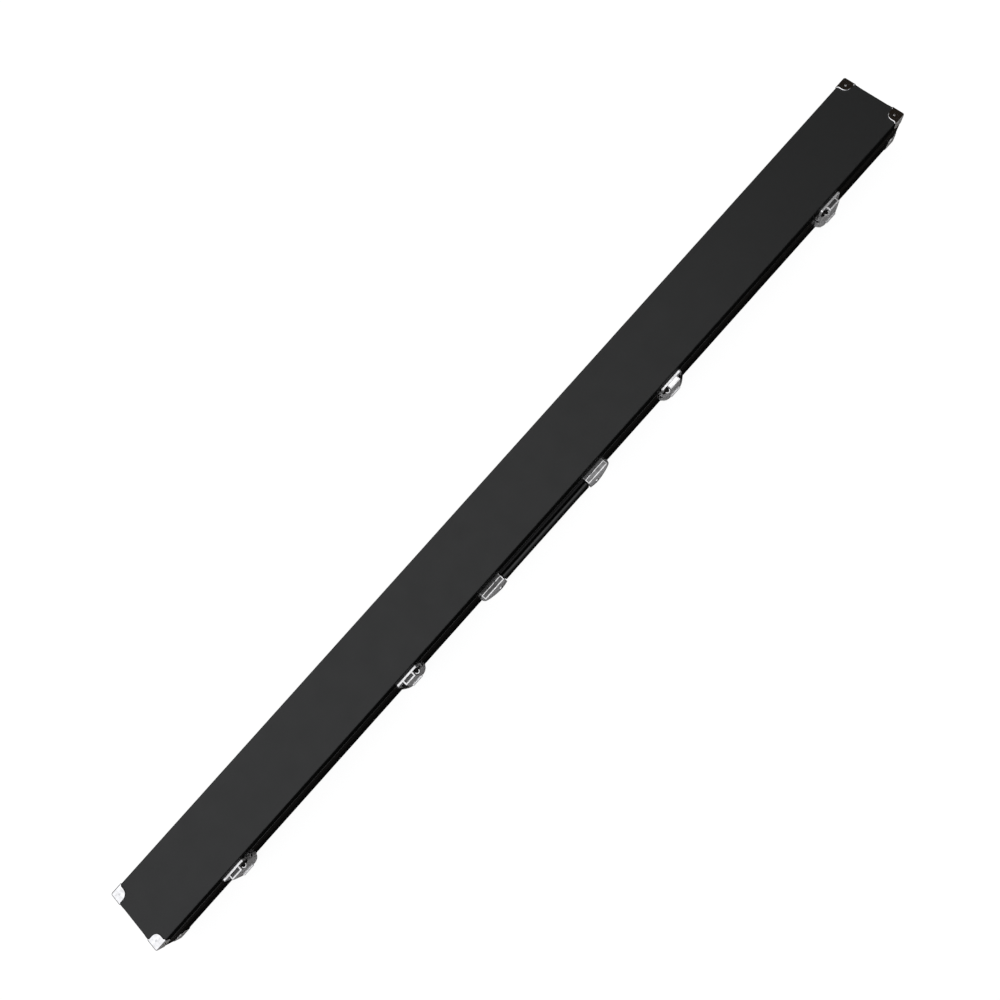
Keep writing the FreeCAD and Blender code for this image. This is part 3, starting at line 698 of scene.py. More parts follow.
# ---- Corner protectors ----
CORNER_R = 3.0
CORNER_SHEET = 0.97
LEAF = 20.0                    # reach of a leaf along the case's edges
LEAF_LOBE = 18.6               # reach of its rounded part
LEAF_LOBE_R = 9.5
LEAF_EAR_Z = 2.2               # the leaf keeps its full reach up to here and then falls back
LEAF_EAR_FALL = 1.6
LEAF_LINES = [
    0, 0.6, 1.2, 1.8, 2.4, 3.0, 4.2, 5.8, 7.6, 9.6, 11.6, 13.6, 15.4, 16.9, 18.0, 18.8, 19.35, 19.75, 20.0,
]
LEAF_RIM_DROP = 0.36
LEAF_RIM_W = 0.9
RIVET_PLACE = Vector((10, 10))
RIVET_DISH = 0.10              # the sheet is pressed in under the rivet and in a ring round it
RIVET_DISH_R = 3.4
RIVET_RING = 0.06
RIVET_RING_R = 6.2
RIVET_RING_W = 1.2


def ease(value):
    value = min(1.0, max(0.0, value))
    return value * value * (3 - 2 * value)


def leaf_edge(share):
    """The far outline of a leaf, from its ear on one edge of the case to the middle of its lobe."""
    centre = LEAF_LOBE - LEAF_LOBE_R
    if share < 0.5:
        height = share * 2 * centre
        fall = (LEAF - LEAF_LOBE) * ease((height - LEAF_EAR_Z) / LEAF_EAR_FALL)
        return Vector((LEAF - fall, height))
    angle = math.radians(90 * (share - 0.5))
    return Vector((centre + LEAF_LOBE_R * math.cos(angle), centre + LEAF_LOBE_R * math.sin(angle)))


def leaf_point(u, v):
    """A point of the leaf for shares u and v of its two sides (a Coons patch)."""
    right = leaf_edge(v)
    top = leaf_edge(u).yx
    bottom = Vector((LEAF * u, 0))
    left = Vector((0, LEAF * v))
    flat = Vector((LEAF * u * (1 - v), LEAF * v * (1 - u))) + leaf_edge(1) * u * v
    return bottom * (1 - v) + top * v + left * (1 - u) + right * u - flat


def leaf_sink(point, near):
    """How far the pressed sheet lies below its level, near millimetres from the leaf's outline."""
    rim = LEAF_RIM_DROP * (1 - min(1, near / LEAF_RIM_W)) ** 2
    away = (point - RIVET_PLACE).length
    dish = RIVET_DISH * math.exp(-((away / RIVET_DISH_R) ** 4))
    return rim + dish + RIVET_RING * ease(1 - abs(away - RIVET_RING_R) / RIVET_RING_W)


def leaf_grid(bm, depth, turn):
    """Rows of points of the leaf on one of the corner's three sides, on its face or depth under it."""
    shares = [line / LEAF for line in LEAF_LINES]
    grid = []
    for v in shares:
        row = []
        for u in shares:
            flat = leaf_point(u, v)
            down = depth or leaf_sink(flat, (1 - max(u, v)) * LEAF)
            axes = [flat.x, flat.y, 0]
            point = Vector(axes[-turn:] + axes[:-turn])
            inner = Vector([max(c, CORNER_R) for c in point])
            row.append(bm.verts.new(inner + (point - inner).normalized() * (CORNER_R - down)))
        grid.append(row)
    return grid


def corner_plate():
    """A corner protector in its own frame: the corner at the origin, the case towards +X +Y +Z."""
    bm = bmesh.new()
    layers = []
    for depth in (0.0, CORNER_SHEET):
        rims = []
        for turn in range(3):
            grid = leaf_grid(bm, depth, turn)
            for first, second in zip(grid, grid[1:]):
                for quad in zip(first, first[1:], second[1:], second):
                    bm.faces.new(quad if depth else quad[::-1])
            rims.append([row[-1] for row in grid] + grid[-1][-2::-1])
        layers.append(rims)
    for outer, inner in zip(*layers):
        for quad in zip(outer, outer[1:], inner[1:], inner):
            bm.faces.new(quad)
    bmesh.ops.remove_doubles(bm, verts=bm.verts, dist=1e-4)
    bmesh.ops.recalc_face_normals(bm, faces=bm.faces)
    return bm


for half, depth, side in itertools.product(("base", "lid"), ("front", "back"), ("left", "right")):
    corner = "_".join((half, "corner", depth, side))
    flips = (side == "right", depth == "back", half == "lid")
    origin = [high if flip else low for low, high, flip in zip(*node_box(corner), flips)]
    to_frame = TO_METRES @ Matrix.Translation(origin) @ Matrix.Diagonal([-1 if f else 1 for f in flips] + [1])
    steel = linked(corner + "_plate", placed(corner_plate(), to_frame), CORNER_PLATE)
    finished(steel, half, (corner,), width=0.22, segments=2, angle=50)
    # Painted light: the leaves on the front wall get the lighter copy of the plating.
    painted(steel, CORNER_SIDE, to_frame, lambda p: p.y < 0.6 and p.z > 1.3)


# ---- Rivets ----
RIVET_FLAT = 0.32              # share of the space above the sheet that the head fills
RIVET_ROOT = -0.35             # the head starts a little under the sheet
RIVET_PROFILE = (              # shares of the head's radius and height
    (1.0, 0.12), (0.97, 0.35), (0.86, 0.66), (0.68, 0.90),
    (0.50, 1.0), (0.36, 0.97), (0.26, 0.70), (0.12, 0.62),
)


def solid_boxes(node):
    """The (low, high) corners of each loose solid of a CAD node, in millimetres."""
    bm = bmesh.new()
    bm.from_mesh(cad_nodes[node].data)
    bmesh.ops.remove_doubles(bm, verts=bm.verts, dist=1e-6)
    left = set(bm.verts)
    boxes = []
    while left:
        stack = [left.pop()]
        solid = []
        while stack:
            vert = stack.pop()
            solid.append(vert.co / MM)
            near = {edge.other_vert(vert) for edge in vert.link_edges} & left
            left -= near
            stack += near
        boxes.append([Vector([end(axis) for axis in zip(*solid)]) for end in (min, max)])
    bm.free()
    return sorted(boxes, key=lambda box: tuple(box[0]))


def domes(name, node, body):
    """Domed heads with a small pressed centre, one where each of the node's solids stands."""
    parts = []
    case_middle = Vector((0, MID_Y, TOP_Z / 2))
    for low, high in solid_boxes(node):
        size = high - low
        axis = min(range(3), key=lambda i: size[i])
        radius = max(size) / 2
        height = size[axis] * RIVET_FLAT
        foot = (low + high) / 2
        outward = 1 if foot[axis] > case_middle[axis] else -1
        foot[axis] = low[axis] if outward > 0 else high[axis]
        normal = Vector([outward if i == axis else 0 for i in range(3)])
        profile = [(radius * 0.6, RIVET_ROOT), (radius, RIVET_ROOT)]
        profile += [(radius * r, height * h) for r, h in RIVET_PROFILE]
        turned = normal.to_track_quat("Z", "Y").to_matrix().to_4x4()
        parts.append(placed(lathe(profile), Matrix.Translation(foot) @ turned))
    piece = linked(name, placed(merged(parts), TO_METRES), RIVET_PLATE)
    finished(piece, body, (node,), width=0, smooth=50)


domes("base_rivet_heads", "base_rivets", "base")
domes("lid_rivet_heads", "lid_rivets", "lid")


# ---- Latches ----
# Latch sizes are in the latch's own directions: along the case towards the thumb slide, outwards, up.
def latch_frame(number):
    """From latch millimetres to metres in the frame."""
    low, high = node_box("latch_" + str(number) + "_keeper")
    centre = (low.x + high.x) / 2
    side = 1 if centre < 0 else -1
    axes = Matrix(((side, 0, 0, centre), (0, -1, 0, WALL_FRONT), (0, 0, 1, 0), (0, 0, 0, 1)))
    return TO_METRES @ axes


KEEPER_HALF = 19.5
KEEPER_DEEP = 3.5
KEEPER_FALL = 0.6              # its top flange slopes outwards
KEEPER_Z = (29.0, 50.0)
KEEPER_CORNER_R = 2.6
KEEPER_BEND_R = 0.9
HOOK_HALF = 6
HOOK = [(0.6, 40), (2.6, 44.6), (2.6, 47), (0.6, 47)]    # out, height
LOCK_HALF = 23.5
LOCK_Z = (5.0, 27.4)
LOCK_TAPER_Z = 14.0            # the lock plate narrows below this height
LOCK_LOW_HALF = 13.0
SHOULDER_LOW_Z = 8.5
HASP_HALF = 9.5
HASP_TOP_Z = 48.5
HASP_OUT = 10.6
HASP_BACK = 2.9
HASP_FRONT = ((42, 0.15), (34, 0.3), (26, 0.1), (18, -0.6), (16.1, -1.2))    # height, bulge
HASP_TOE = ((10.0, 12.2), (9.6, 11.0), (8.4, 9.1), (7.6, 8.7), (4.6, 8.7))   # out, height
HASP_BEAD = (10.4, 14.6)
HASP_BEAD_R = 1.25
HASP_LEAN = (0.9, 0.9, 0.0, 0.9)    # how far each hasp's sunk top falls towards the case
HASP_SHEET = 1.0
HASP_CREASE_R = 0.6
HASP_RIM = 1.5
HASP_SINK = 0.7
HASP_PIN_OUT = 5.0
HASP_PIN_Z = 12.0
HASP_BORE_R = 1.05
BARREL_R = 2.4
BARREL_HALF = 8.4


def keeper():
    """A pressed tray: plate, top and side flanges."""
    bm = block((-KEEPER_HALF, KEEPER_HALF), (0, KEEPER_DEEP), KEEPER_Z)
    for vert in bm.verts:
        if vert.co.y > 0.1 and vert.co.z > KEEPER_Z[0] + 1:
            vert.co.z -= KEEPER_FALL
    bm.normal_update()
    doomed = [f for f in bm.faces if f.normal.y > 0.9 or f.normal.z < -0.9]
    bmesh.ops.delete(bm, geom=doomed, context="FACES_ONLY")
    top_corners = []
    for edge in bm.edges:
        start, end = (vert.co for vert in edge.verts)
        middle = (start + end) / 2
        outermost = middle.z > KEEPER_Z[1] - 1 and abs(middle.x) > KEEPER_HALF - 0.1
        if outermost and abs(end.y - start.y) > 1:
            top_corners.append(edge)
    rounded_edges(bm, top_corners, KEEPER_CORNER_R, 5)
    inner = [e for e in bm.edges if e.is_manifold and e.calc_face_angle(0) > 1.0]
    rounded_edges(bm, inner, KEEPER_BEND_R, 3)
    return bm


def keeper_hook():
    return prism(rounded_outline(HOOK, (0.3, 0.6, 0.5, 0.2), 3), -HOOK_HALF, HOOK_HALF, 0)


def shoulder(side):
    """A block beside the hasp on the +X side, falling away to its side."""
    rings = []
    slope = (LOCK_TAPER_Z - LOCK_Z[0]) / (LOCK_HALF - LOCK_LOW_HALF)
    for k in range(9):
        share = k / 8
        x = side.near_x + (side.far_x - side.near_x) * share
        out = side.near_out - (side.near_out - side.far_out) * share ** 1.6
        low = side.lift + max(SHOULDER_LOW_Z, LOCK_Z[0] + (x - LOCK_LOW_HALF) * slope)
        section = [(0.4, low), (0.4, side.ledge_z), (side.back_out, side.ledge_z)]
        section += [(side.back_out, side.top_z), (out, side.top_z)]
        section += [(out, low + 2.2), (out - 0.7, low + 0.7), (out - 2.2, low)]
        rings.append([Vector((x, y, z)) for y, z in section])
    return loft(rings)


Side = namedtuple("Side", "near_x far_x near_out far_out ledge_z back_out top_z lift")
LOW_SIDE = Side(10.2, LOCK_HALF, 9.65, 3.5, 26.6, 0.9, 27.2, 0)
TOWER = Side(10.26, 21.0, 9.8, 6.0, 27.6, 3.9, 42.0, 0.3)


def lock_plate():
    low, high = LOCK_Z
    outline = [
        (-LOCK_HALF, high), (LOCK_HALF, high), (LOCK_HALF, LOCK_TAPER_Z),
        (LOCK_LOW_HALF, low), (-LOCK_LOW_HALF, low), (-LOCK_HALF, LOCK_TAPER_Z),
    ]
    return prism(rounded_outline(outline, (2, 2, 5, 4, 4, 5), 5), 0, SHEET, 1)


def hasp_section():
    """Profile of the hasp's front as (out, z): nearly flat, with a rolled bead along its foot."""
    points = [(HASP_BACK, HASP_TOP_Z), (HASP_OUT, HASP_TOP_Z)]
    points += [(HASP_OUT + bulge, z) for z, bulge in HASP_FRONT]
    for k in range(8):
        a = math.radians(90 - 150 * k / 7)
        points.append((HASP_BEAD[0] + HASP_BEAD_R * math.cos(a), HASP_BEAD[1] + HASP_BEAD_R * math.sin(a)))
    return [*points, *HASP_TOE, (HASP_BACK, 11.0)]


def hasp(lean):
    """The box-shaped hasp, open at the back, its top sunk inside a rim."""
    bm = prism(hasp_section(), -HASP_HALF, HASP_HALF, 0)
    bm.normal_update()
    back = [f for f in bm.faces if f.normal.y < -0.95]
    bmesh.ops.delete(bm, geom=back, context="FACES_ONLY")
    bm.normal_update()
    crease = [e for e in bm.edges if e.is_manifold and e.calc_face_angle(0) > math.radians(50)]
    rounded_edges(bm, crease, HASP_CREASE_R, 3)
    bm.normal_update()
    floor_face = sunk(bm, (0, 0, 1), HASP_RIM, HASP_SINK)
    middle_out = floor_face.calc_center_median().y
    for vert in floor_face.verts:
        if vert.co.y < middle_out:
            vert.co.z -= lean
    return bm


def tube(radius, bore, start, length):
    """A tube along X from start, with eased rims."""
    rim = radius - 0.2
    profile = [(bore, 0), (rim, 0), (radius, 0.2), (radius, length - 0.2), (rim, length), (bore, length)]
    rings = []
    for k in range(28):
        a = 2 * math.pi * k / 28
        rings.append([Vector((x, r * math.cos(a), r * math.sin(a))) + Vector(start) for r, x in profile])
    return loft(rings, looped=True)


KNOB_X = 14.2
KNOB_R = 3.7
KNOB_NOSE = 7.6                # where its round front begins
KNOB_BACK = 4.6
KNOB_Z = (42.2, 46.0)
KNOB_RIM = 1.15
KNOB_SINK = 2.6
STEM_X = (13.0, 15.4)
STEM_OUT = (4.6, 5.6)
STEM_Z = (37.2, 42.6)
STEM_SLOT_X = (12.9, 18.0)     # the stem's slot in the tower
STEM_SLOT_OUT = (4.5, 5.7)


def knob():
    """The thumb slide: a round-fronted cap, hollow on top."""
    outline = [(KNOB_X - KNOB_R, KNOB_BACK)]
    for k in range(13):
        a = math.pi * (1 - k / 12)
        outline.append((KNOB_X + KNOB_R * math.cos(a), KNOB_NOSE + KNOB_R * math.sin(a)))
    outline.append((KNOB_X + KNOB_R, KNOB_BACK))
    bm = prism(outline, *KNOB_Z, 2)
    bm.normal_update()
    sunk(bm, (0, 0, 1), KNOB_RIM, KNOB_SINK)
    return bm


def make_keeper(prefix, to_frame):
    tray = linked(prefix + "keeper_tray", placed(keeper(), to_frame), LATCH_PLATE)
    thickened(tray, SHEET)
    cut(tray, keeper_hook(), to_frame, "UNION")
    finished(tray, "lid", (prefix + "keeper",))


def make_lock(prefix, to_frame):
    case = linked(prefix + "lock_case", placed(lock_plate(), to_frame), LATCH_PLATE)
    far_side = placed(shoulder(LOW_SIDE), Matrix.Diagonal((-1, 1, 1, 1)))
    for part in (far_side, shoulder(LOW_SIDE), shoulder(TOWER)):
        cut(case, part, to_frame, "UNION")
    cut(case, block(STEM_SLOT_X, STEM_SLOT_OUT, (37.0, TOWER.top_z + 1)), to_frame)
    along = Matrix.Translation((0, HASP_PIN_OUT, HASP_PIN_Z)) @ Matrix.Rotation(math.radians(90), 4, "Y")
    cut(case, lathe([(HASP_BORE_R, -14.1), (HASP_BORE_R, 14.1)]), to_frame @ along)
    finished(case, "base", (prefix + "lock_body",), width=0.45, segments=3, angle=25)
    tops = (LOW_SIDE.top_z, TOWER.top_z)
    # Painted shade: the flat tops of the shoulders and tower get near-black steel, standing in for the shade
    # and dark reflection round the thumb slide.
    painted(case, SHADE_BLACK, to_frame, lambda p: min(abs(p.z - top) for top in tops) < 0.05)


def make_hasp(prefix, to_frame, lean):
    shell = linked(prefix + "hasp_shell", placed(hasp(lean), to_frame), HASP_PLATE)
    thickened(shell, HASP_SHEET)
    barrel = tube(BARREL_R, HASP_BORE_R, (-BARREL_HALF, HASP_PIN_OUT, HASP_PIN_Z), 2 * BARREL_HALF)
    bm = bmesh.new()
    bm.from_mesh(shell.data)
    joined(bm, placed(barrel, to_frame))
    bm.to_mesh(shell.data)
    bm.free()
    finished(shell, prefix + "hasp", (prefix + "hasp",), width=0.18)
    inner = HASP_HALF - HASP_RIM - 0.3

    def in_recess(p):
        under_top = HASP_TOP_Z - p.z
        return abs(p.x) < inner and 0.3 < under_top < 2.2 and 3.8 < p.y < HASP_OUT - HASP_RIM
    # Painted light and shade: the sunk top gets a dark copy of the plating on the tilted hasps and a bright
    # one on the level hasp.
    painted(shell, SHADED_HASP_TOP if lean else LIT_HASP_TOP, to_frame, in_recess)


def make_slide(prefix, to_frame):
    slide = linked(prefix + "thumb_slide", placed(knob(), to_frame), LATCH_PLATE)
    cut(slide, block(STEM_X, STEM_OUT, STEM_Z), to_frame, "UNION")
    finished(slide, prefix + "slide", (prefix + "slide",), width=0.16, angle=40)
    inner = KNOB_R - KNOB_RIM + 0.1

    # Painted shade: the slide's hollow and its back part get near-black steel, standing in for the shade
    # inside the hollow.
    def black(p):
        round_part = (p.x - KNOB_X) ** 2 + (p.y - KNOB_NOSE) ** 2 < inner ** 2
        hollow = abs(p.x - KNOB_X) < inner and (p.y < KNOB_NOSE or round_part)
        return KNOB_Z[0] + 0.6 < p.z and (hollow or p.y < KNOB_NOSE - 0.2)
    painted(slide, SHADE_BLACK, to_frame, black)


for number, hasp_lean in enumerate(HASP_LEAN, 1):
    latch = "latch_" + str(number) + "_"
    latch_to_frame = latch_frame(number)
    make_keeper(latch, latch_to_frame)
    make_lock(latch, latch_to_frame)
    make_hasp(latch, latch_to_frame, hasp_lean)
    make_slide(latch, latch_to_frame)


# ---- Handle ----
# Handle sizes: away from the handle's middle, outwards from the front wall, up.
CAP_X = (89.4, 128.4)
CAP_Z = (2.5, 24.5)
CAP_TOP_OUT = 8.2
CAP_LEVELS = (                 # height, out, far end, end of its straight front, squareness of the corner
    (24.5, 8.2, 128.4, 112.0, 16.0),
    (20.5, 9.35, 130.6, 110.0, 7.0),
    (15.5, 10.6, 132.6, 106.0, 3.6),
    (10.0, 11.2, 133.3, 102.0, 2.4),
    (6.5, 11.1, 130.5, 101.0, 2.2),
    (4.0, 10.7, 126.0, 99.0, 2.1),
    (2.5, 9.6, 121.0, 97.0, 2.0),
)
CAP_SHEET = 1.15
CAP_RIM = 1.3
CAP_FRONT_RIM = 1.9
CAP_SINK = 0.6
CAP_FULL_X = 104.0
CAP_MOUTH_TAPER = 1.6          # how far the belly is drawn in at the mouth
CAP_ROUND = 0.7
CAP_FALL = 0.146               # the flat top slopes outwards by this much per millimetre
SCREW_X = 102.0
SCREW_Z = 13.0
SCREW_SEAT = 10.2
SCREW_TURN = math.radians(24)
RECESS_HALF_L = 1.45
RECESS_HALF_W = 0.275
NUB_OUT = 1.2                  # a small pressed stud on the cap's top, next to the wall
HANDLE_X = (node_box("handle_cap_left")[0].x + node_box("handle_cap_right")[1].x) / 2


def front_frame(side):
    """From handle millimetres to metres in the frame; side is -1 for the left half."""
    axes = Matrix(((side, 0, 0, HANDLE_X), (0, -1, 0, WALL_FRONT), (0, 0, 1, 0), (0, 0, 0, 1)))
    return TO_METRES @ axes


def between(levels, z):
    """The values of a descending table at a height, smoothly joined."""
    for i in range(len(levels) - 1):
        above, below = levels[i], levels[i + 1]
        if z >= below[0]:
            break
    share = (above[0] - z) / (above[0] - below[0])
    before = levels[i - 1] if i else above
    after = levels[i + 2] if i + 2 < len(levels) else below
    values = []
    for p0, p1, p2, p3 in zip(before[1:], above[1:], below[1:], after[1:]):
        bend = 2 * p1 + (p2 - p0) * share + (2 * p0 - 5 * p1 + 4 * p2 - p3) * share ** 2
        values.append((bend + (3 * p1 - p0 - 3 * p2 + p3) * share ** 3) / 2)
    return values


def cap_ring(z, inset=0.0):
    """Plan of the cap at a height: from the mouth along the front and round its far corner."""
    out, far_x, straight_x, square = between(CAP_LEVELS, z)
    out -= inset
    far_x -= inset
    ring = [Vector((CAP_X[0], 0, z))]
    taper = CAP_MOUTH_TAPER * ease((20 - z) / 8)
    for k in range(8):
        x = CAP_X[0] + (straight_x - CAP_X[0]) * k / 8
        mouthwards = max(0.0, (CAP_FULL_X - x) / (CAP_FULL_X - CAP_X[0]))
        ring.append(Vector((x, out - taper * mouthwards ** 2, z)))
    for k in range(25):
        a = math.pi / 2 * k / 24
        x = straight_x + (far_x - straight_x) * math.sin(a) ** (2 / square)
        ring.append(Vector((x, out * math.cos(a) ** (2 / square), z)))
    ring[-1].y = 0
    for point in ring:
        point.z -= CAP_FALL * point.y * ease((z - 17) / 6)
    return ring


def cap_shell():
    """A drawn end cap, open towards the wall and the strap; its square top flows into a rounded belly."""
    top_z = CAP_Z[1]
    rings = []
    for k in range(4):
        a = math.pi / 2 * k / 4
        rings.append(cap_ring(top_z - CAP_ROUND * (1 - math.cos(a)), CAP_ROUND * (1 - math.sin(a))))
    depth = top_z - CAP_ROUND - CAP_Z[0]
    for k in range(19):
        rings.append(cap_ring(top_z - CAP_ROUND - depth * math.sin(math.pi / 2 * k / 18)))
    bm = loft(rings)
    bm.normal_update()
    doomed = [f for f in bm.faces if f.normal.y < -0.95 or f.normal.x < -0.95]
    bmesh.ops.delete(bm, geom=doomed, context="FACES_ONLY")
    return bm


def cap_tray():
    """What is cut from the cap's sloping top to leave a raised rim."""
    tray = block(
        (CAP_X[0] + CAP_RIM, CAP_X[1] - CAP_RIM),
        (CAP_RIM, CAP_TOP_OUT - CAP_FRONT_RIM),
        (CAP_Z[1] - CAP_SINK, CAP_Z[1] + 5),
    )
    for vert in tray.verts:
        vert.co.z -= CAP_FALL * vert.co.y
    return tray


def outwards(x, out, z):
    """A frame at a spot of the front wall whose Z points away from the wall."""
    return Matrix.Translation((x, out, z)) @ Matrix.Rotation(math.radians(-90), 4, "X")


def screw_head():
    """A raised head on its shank, before its recess is cut."""
    return lathe([
        (0.8, -10.4), (1.8, -10.2), (1.8, -0.4), (2.95, -0.4), (3.0, 0.1),
        (3.0, 1.0), (2.85, 1.3), (2.4, 1.5), (1.2, 1.55), (0.4, 1.55),
    ], 28)


def screws():
    """Two cross-recessed screws, as one piece."""
    both = bmesh.new()
    turn = Matrix.Rotation(SCREW_TURN, 4, "Z")
    for side in (-1, 1):
        to_frame = front_frame(side) @ outwards(SCREW_X, SCREW_SEAT, SCREW_Z)
        head = linked("screw", placed(screw_head(), to_frame), SCREW_PLATE)
        for half_x, half_y in ((RECESS_HALF_L, RECESS_HALF_W), (RECESS_HALF_W, RECESS_HALF_L)):
            cut(head, block((-half_x, half_x), (-half_y, half_y), (0.8, 2.0)), to_frame @ turn)
        both.from_mesh(head.data)
        discarded(head)
    piece = linked("handle_cross_screws", both, SCREW_PLATE)
    finished(piece, "base", ("handle_screws",), width=0.06, segments=1)


def in_tray(point):
    under_top = CAP_Z[1] - point.z - CAP_FALL * point.y
    inside_x = CAP_X[0] + CAP_RIM < point.x < CAP_X[1] - CAP_RIM
    return inside_x and CAP_RIM < point.y < CAP_TOP_OUT - CAP_FRONT_RIM and 0.3 < under_top < 1


def caps():
    for side, label in ((-1, "left"), (1, "right")):
        to_frame = front_frame(side)
        shell = linked("handle_end_cap_" + label, placed(cap_shell(), to_frame), CAP_PLATE)
        thickened(shell, CAP_SHEET)
        nub = lathe([(0.4, -0.9), (1.7, -0.9), (1.7, 0.1), (1.4, 0.6), (0.6, 0.85)], 16)
        cut(shell, nub, to_frame @ Matrix.Translation((SCREW_X, NUB_OUT, CAP_Z[1])), "UNION")
        cut(shell, cap_tray(), to_frame)
        hole = lathe([(1.95, -4), (1.95, -0.2), (3.05, -0.1), (3.05, 3)], 24)
        cut(shell, hole, to_frame @ outwards(SCREW_X, SCREW_SEAT, SCREW_Z))
        finished(shell, "base", ("handle_cap_" + label,), width=0.22, segments=2)
        # Painted light and shade: each cap's sunk top gets its own darker or lighter copy of the pitted
        # plating.
        painted(shell, CAP_TOPS[label], to_frame, in_tray)


def strap_section(x, half_z, out, middle_z, edge_r):
    """A rounded oblong across the strap, its outer side a little crowned."""
    inner_out, outer_out = out
    low, high = middle_z - half_z, middle_z + half_z
    corners_oz = [(inner_out, low), (outer_out, low), (outer_out, high), (inner_out, high)]
    ring = rounded_outline(corners_oz, (1.0, edge_r, edge_r, 1.0), 6)
    crowned = []
    for out_here, z in ring:
        outer = out_here > (inner_out + outer_out) / 2
        crown = STRAP_CROWN * (1 - ((z - middle_z) / half_z) ** 2) if outer else 0.0
        crowned.append(Vector((x, out_here + crown, z)))
    return crowned


STRAP_HALF_L = 87.5
STRAP_HALF_H = 7.0
STRAP_FLARE = 1.2              # extra half height next to the caps
STRAP_OUT = (1.0, 7.4)
STRAP_MID_Z = 13.0
STRAP_EDGE_R = 4.4
STRAP_CROWN = 0.55
STRAP_NECK = [                 # x, half height, out, edge radius
    (87.9, 7.7, (1.5, 7.0), 4.0), (88.3, 5.6, (2.2, 5.9), 1.2),
    (88.7, 4.6, (3.0, 5.2), 0.9), (96.0, 4.6, (3.0, 5.2), 0.9),
]
CORE_HALF_L = 111
CORE_SECTION = ((3.6, 9.2), (4.9, 9.2), (4.9, 16.8), (3.6, 16.8))
CORE_SLOT = [(99.0, 10.7), (107.5, 10.7), (107.5, 15.3), (99.0, 15.3)]


def in_front(bm, side):
    """bm moved to its place at the front wall, with its faces' directions worked out there."""
    bm = placed(bm, front_frame(side))
    bmesh.ops.recalc_face_normals(bm, faces=bm.faces)
    return bm


def strap():
    """The rubber strap in one length, with a neck at each end that goes into the caps."""
    stations = []
    for k in range(-44, 45):
        x = k * STRAP_HALF_L / 44
        near = ease((abs(x) - 66) / 15)
        stations.append((x, STRAP_HALF_H + STRAP_FLARE * near, STRAP_OUT, STRAP_EDGE_R))
    start = [(-x, *rest) for x, *rest in reversed(STRAP_NECK)]
    rings = [strap_section(x, h, out, STRAP_MID_Z, r) for x, h, out, r in start + stations + STRAP_NECK]
    return linked("handle_strap", in_front(loft(rings), 1), RUBBER)


def core_band():
    """The spring steel band inside the strap, in one length, slotted at its screws."""
    xs = [k * CORE_HALF_L / 56 for k in range(-56, 57)]
    bm = loft([[Vector((x, out, z)) for out, z in CORE_SECTION] for x in xs])
    piece = linked("handle_core_band", in_front(bm, 1), SPRING_PLATE)
    for side in (-1, 1):
        slot = prism(rounded_outline(CORE_SLOT, (2.2, 2.2, 2.2, 2.2)), 2, 7, 1)
        cut(piece, in_front(slot, side), Matrix())
    return piece


def blended(piece, replaced):
    """Smooth shading for the piece, its placement baked into its mesh, and the parts it stands for hidden."""
    smoothed(piece, 40)
    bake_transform(piece)
    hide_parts(*replaced)


caps()
screws()
blended(strap(), ("handle_grip_left", "handle_grip_right"))
blended(core_band(), ("handle_core_left", "handle_core_right"))


# ---- Hinges ----
HINGE_HALF = 32.0
HINGE_T = 1.0
HINGE_INNER_X = 190.0
LID_KNUCKLE_HALF = 10.8
KNUCKLE_GAP = 0.2
KNUCKLE_R = 2.5
KNUCKLE_BORE_R = 1.5
KNUCKLE_FOOT = 3.4             # the roll's flat ends stop this far past the hinge axis
LEAF_TO_AXIS = 2.8


def knuckle_roll(up):
    """Section of a leaf's knuckle as (out, z) about the hinge axis: a strip rolled round the pin."""
    angles = [math.radians(180 - 15 * k) for k in range(23)]
    outer, inner = (
        [(radius * math.cos(a), radius * math.sin(a) * up) for a in angles]
        for radius in (KNUCKLE_R, KNUCKLE_BORE_R)
    )
    foot = -KNUCKLE_FOOT * up
    return [(-2.5, foot), *outer, *reversed(inner), (-1.6, foot)]


def hinge_leaves(name, body, node, up, spans):
    """The leaves of all the hinges on one half; spans are the ends of a hinge's knuckles."""
    low, high = node_box("hinge_base_leaves")
    pins_low, pins_high = node_box("hinge_pins")
    axis_out = high.y - KNUCKLE_R
    axis_z = (pins_low.z + pins_high.z) / 2
    far_z = node_box(node)[0 if up > 0 else 1].z
    edge_z = axis_z - up * LEAF_TO_AXIS
    section = [(axis_out + out, axis_z + z) for out, z in knuckle_roll(up)]
    parts = []
    for centre in (low.x + HINGE_HALF, -HINGE_INNER_X, HINGE_INNER_X, high.x - HINGE_HALF):
        left, right = centre - HINGE_HALF, centre + HINGE_HALF
        corners = [(left, far_z), (right, far_z), (right, edge_z), (left, edge_z)]
        leaf = rounded_outline(corners, (2.5, 2.5, 0.3, 0.3))
        parts.append(prism(leaf, WALL_BACK, WALL_BACK + HINGE_T, 1))
        parts += [prism(section, centre + start, centre + end, 0) for start, end in spans]
    bm = placed(merged(parts), TO_METRES)
    bmesh.ops.recalc_face_normals(bm, faces=bm.faces)
    finished(linked(name, bm, HINGE_PLATE), body, (node,), width=0.2)


base_knuckle = LID_KNUCKLE_HALF + KNUCKLE_GAP
hinge_leaves(
    "hinge_base_plates", "base", "hinge_base_leaves", 1,
    ((-HINGE_HALF, -base_knuckle), (base_knuckle, HINGE_HALF)),
)
hinge_leaves(
    "hinge_lid_plates", "lid", "hinge_lid_leaves", -1,
    ((-LID_KNUCKLE_HALF, LID_KNUCKLE_HALF),),
)


# ---- Linings ----
LINING_INSET = 1.0
FELT_T = 0.75
LINING_REACH = 60              # as COVER_REACH


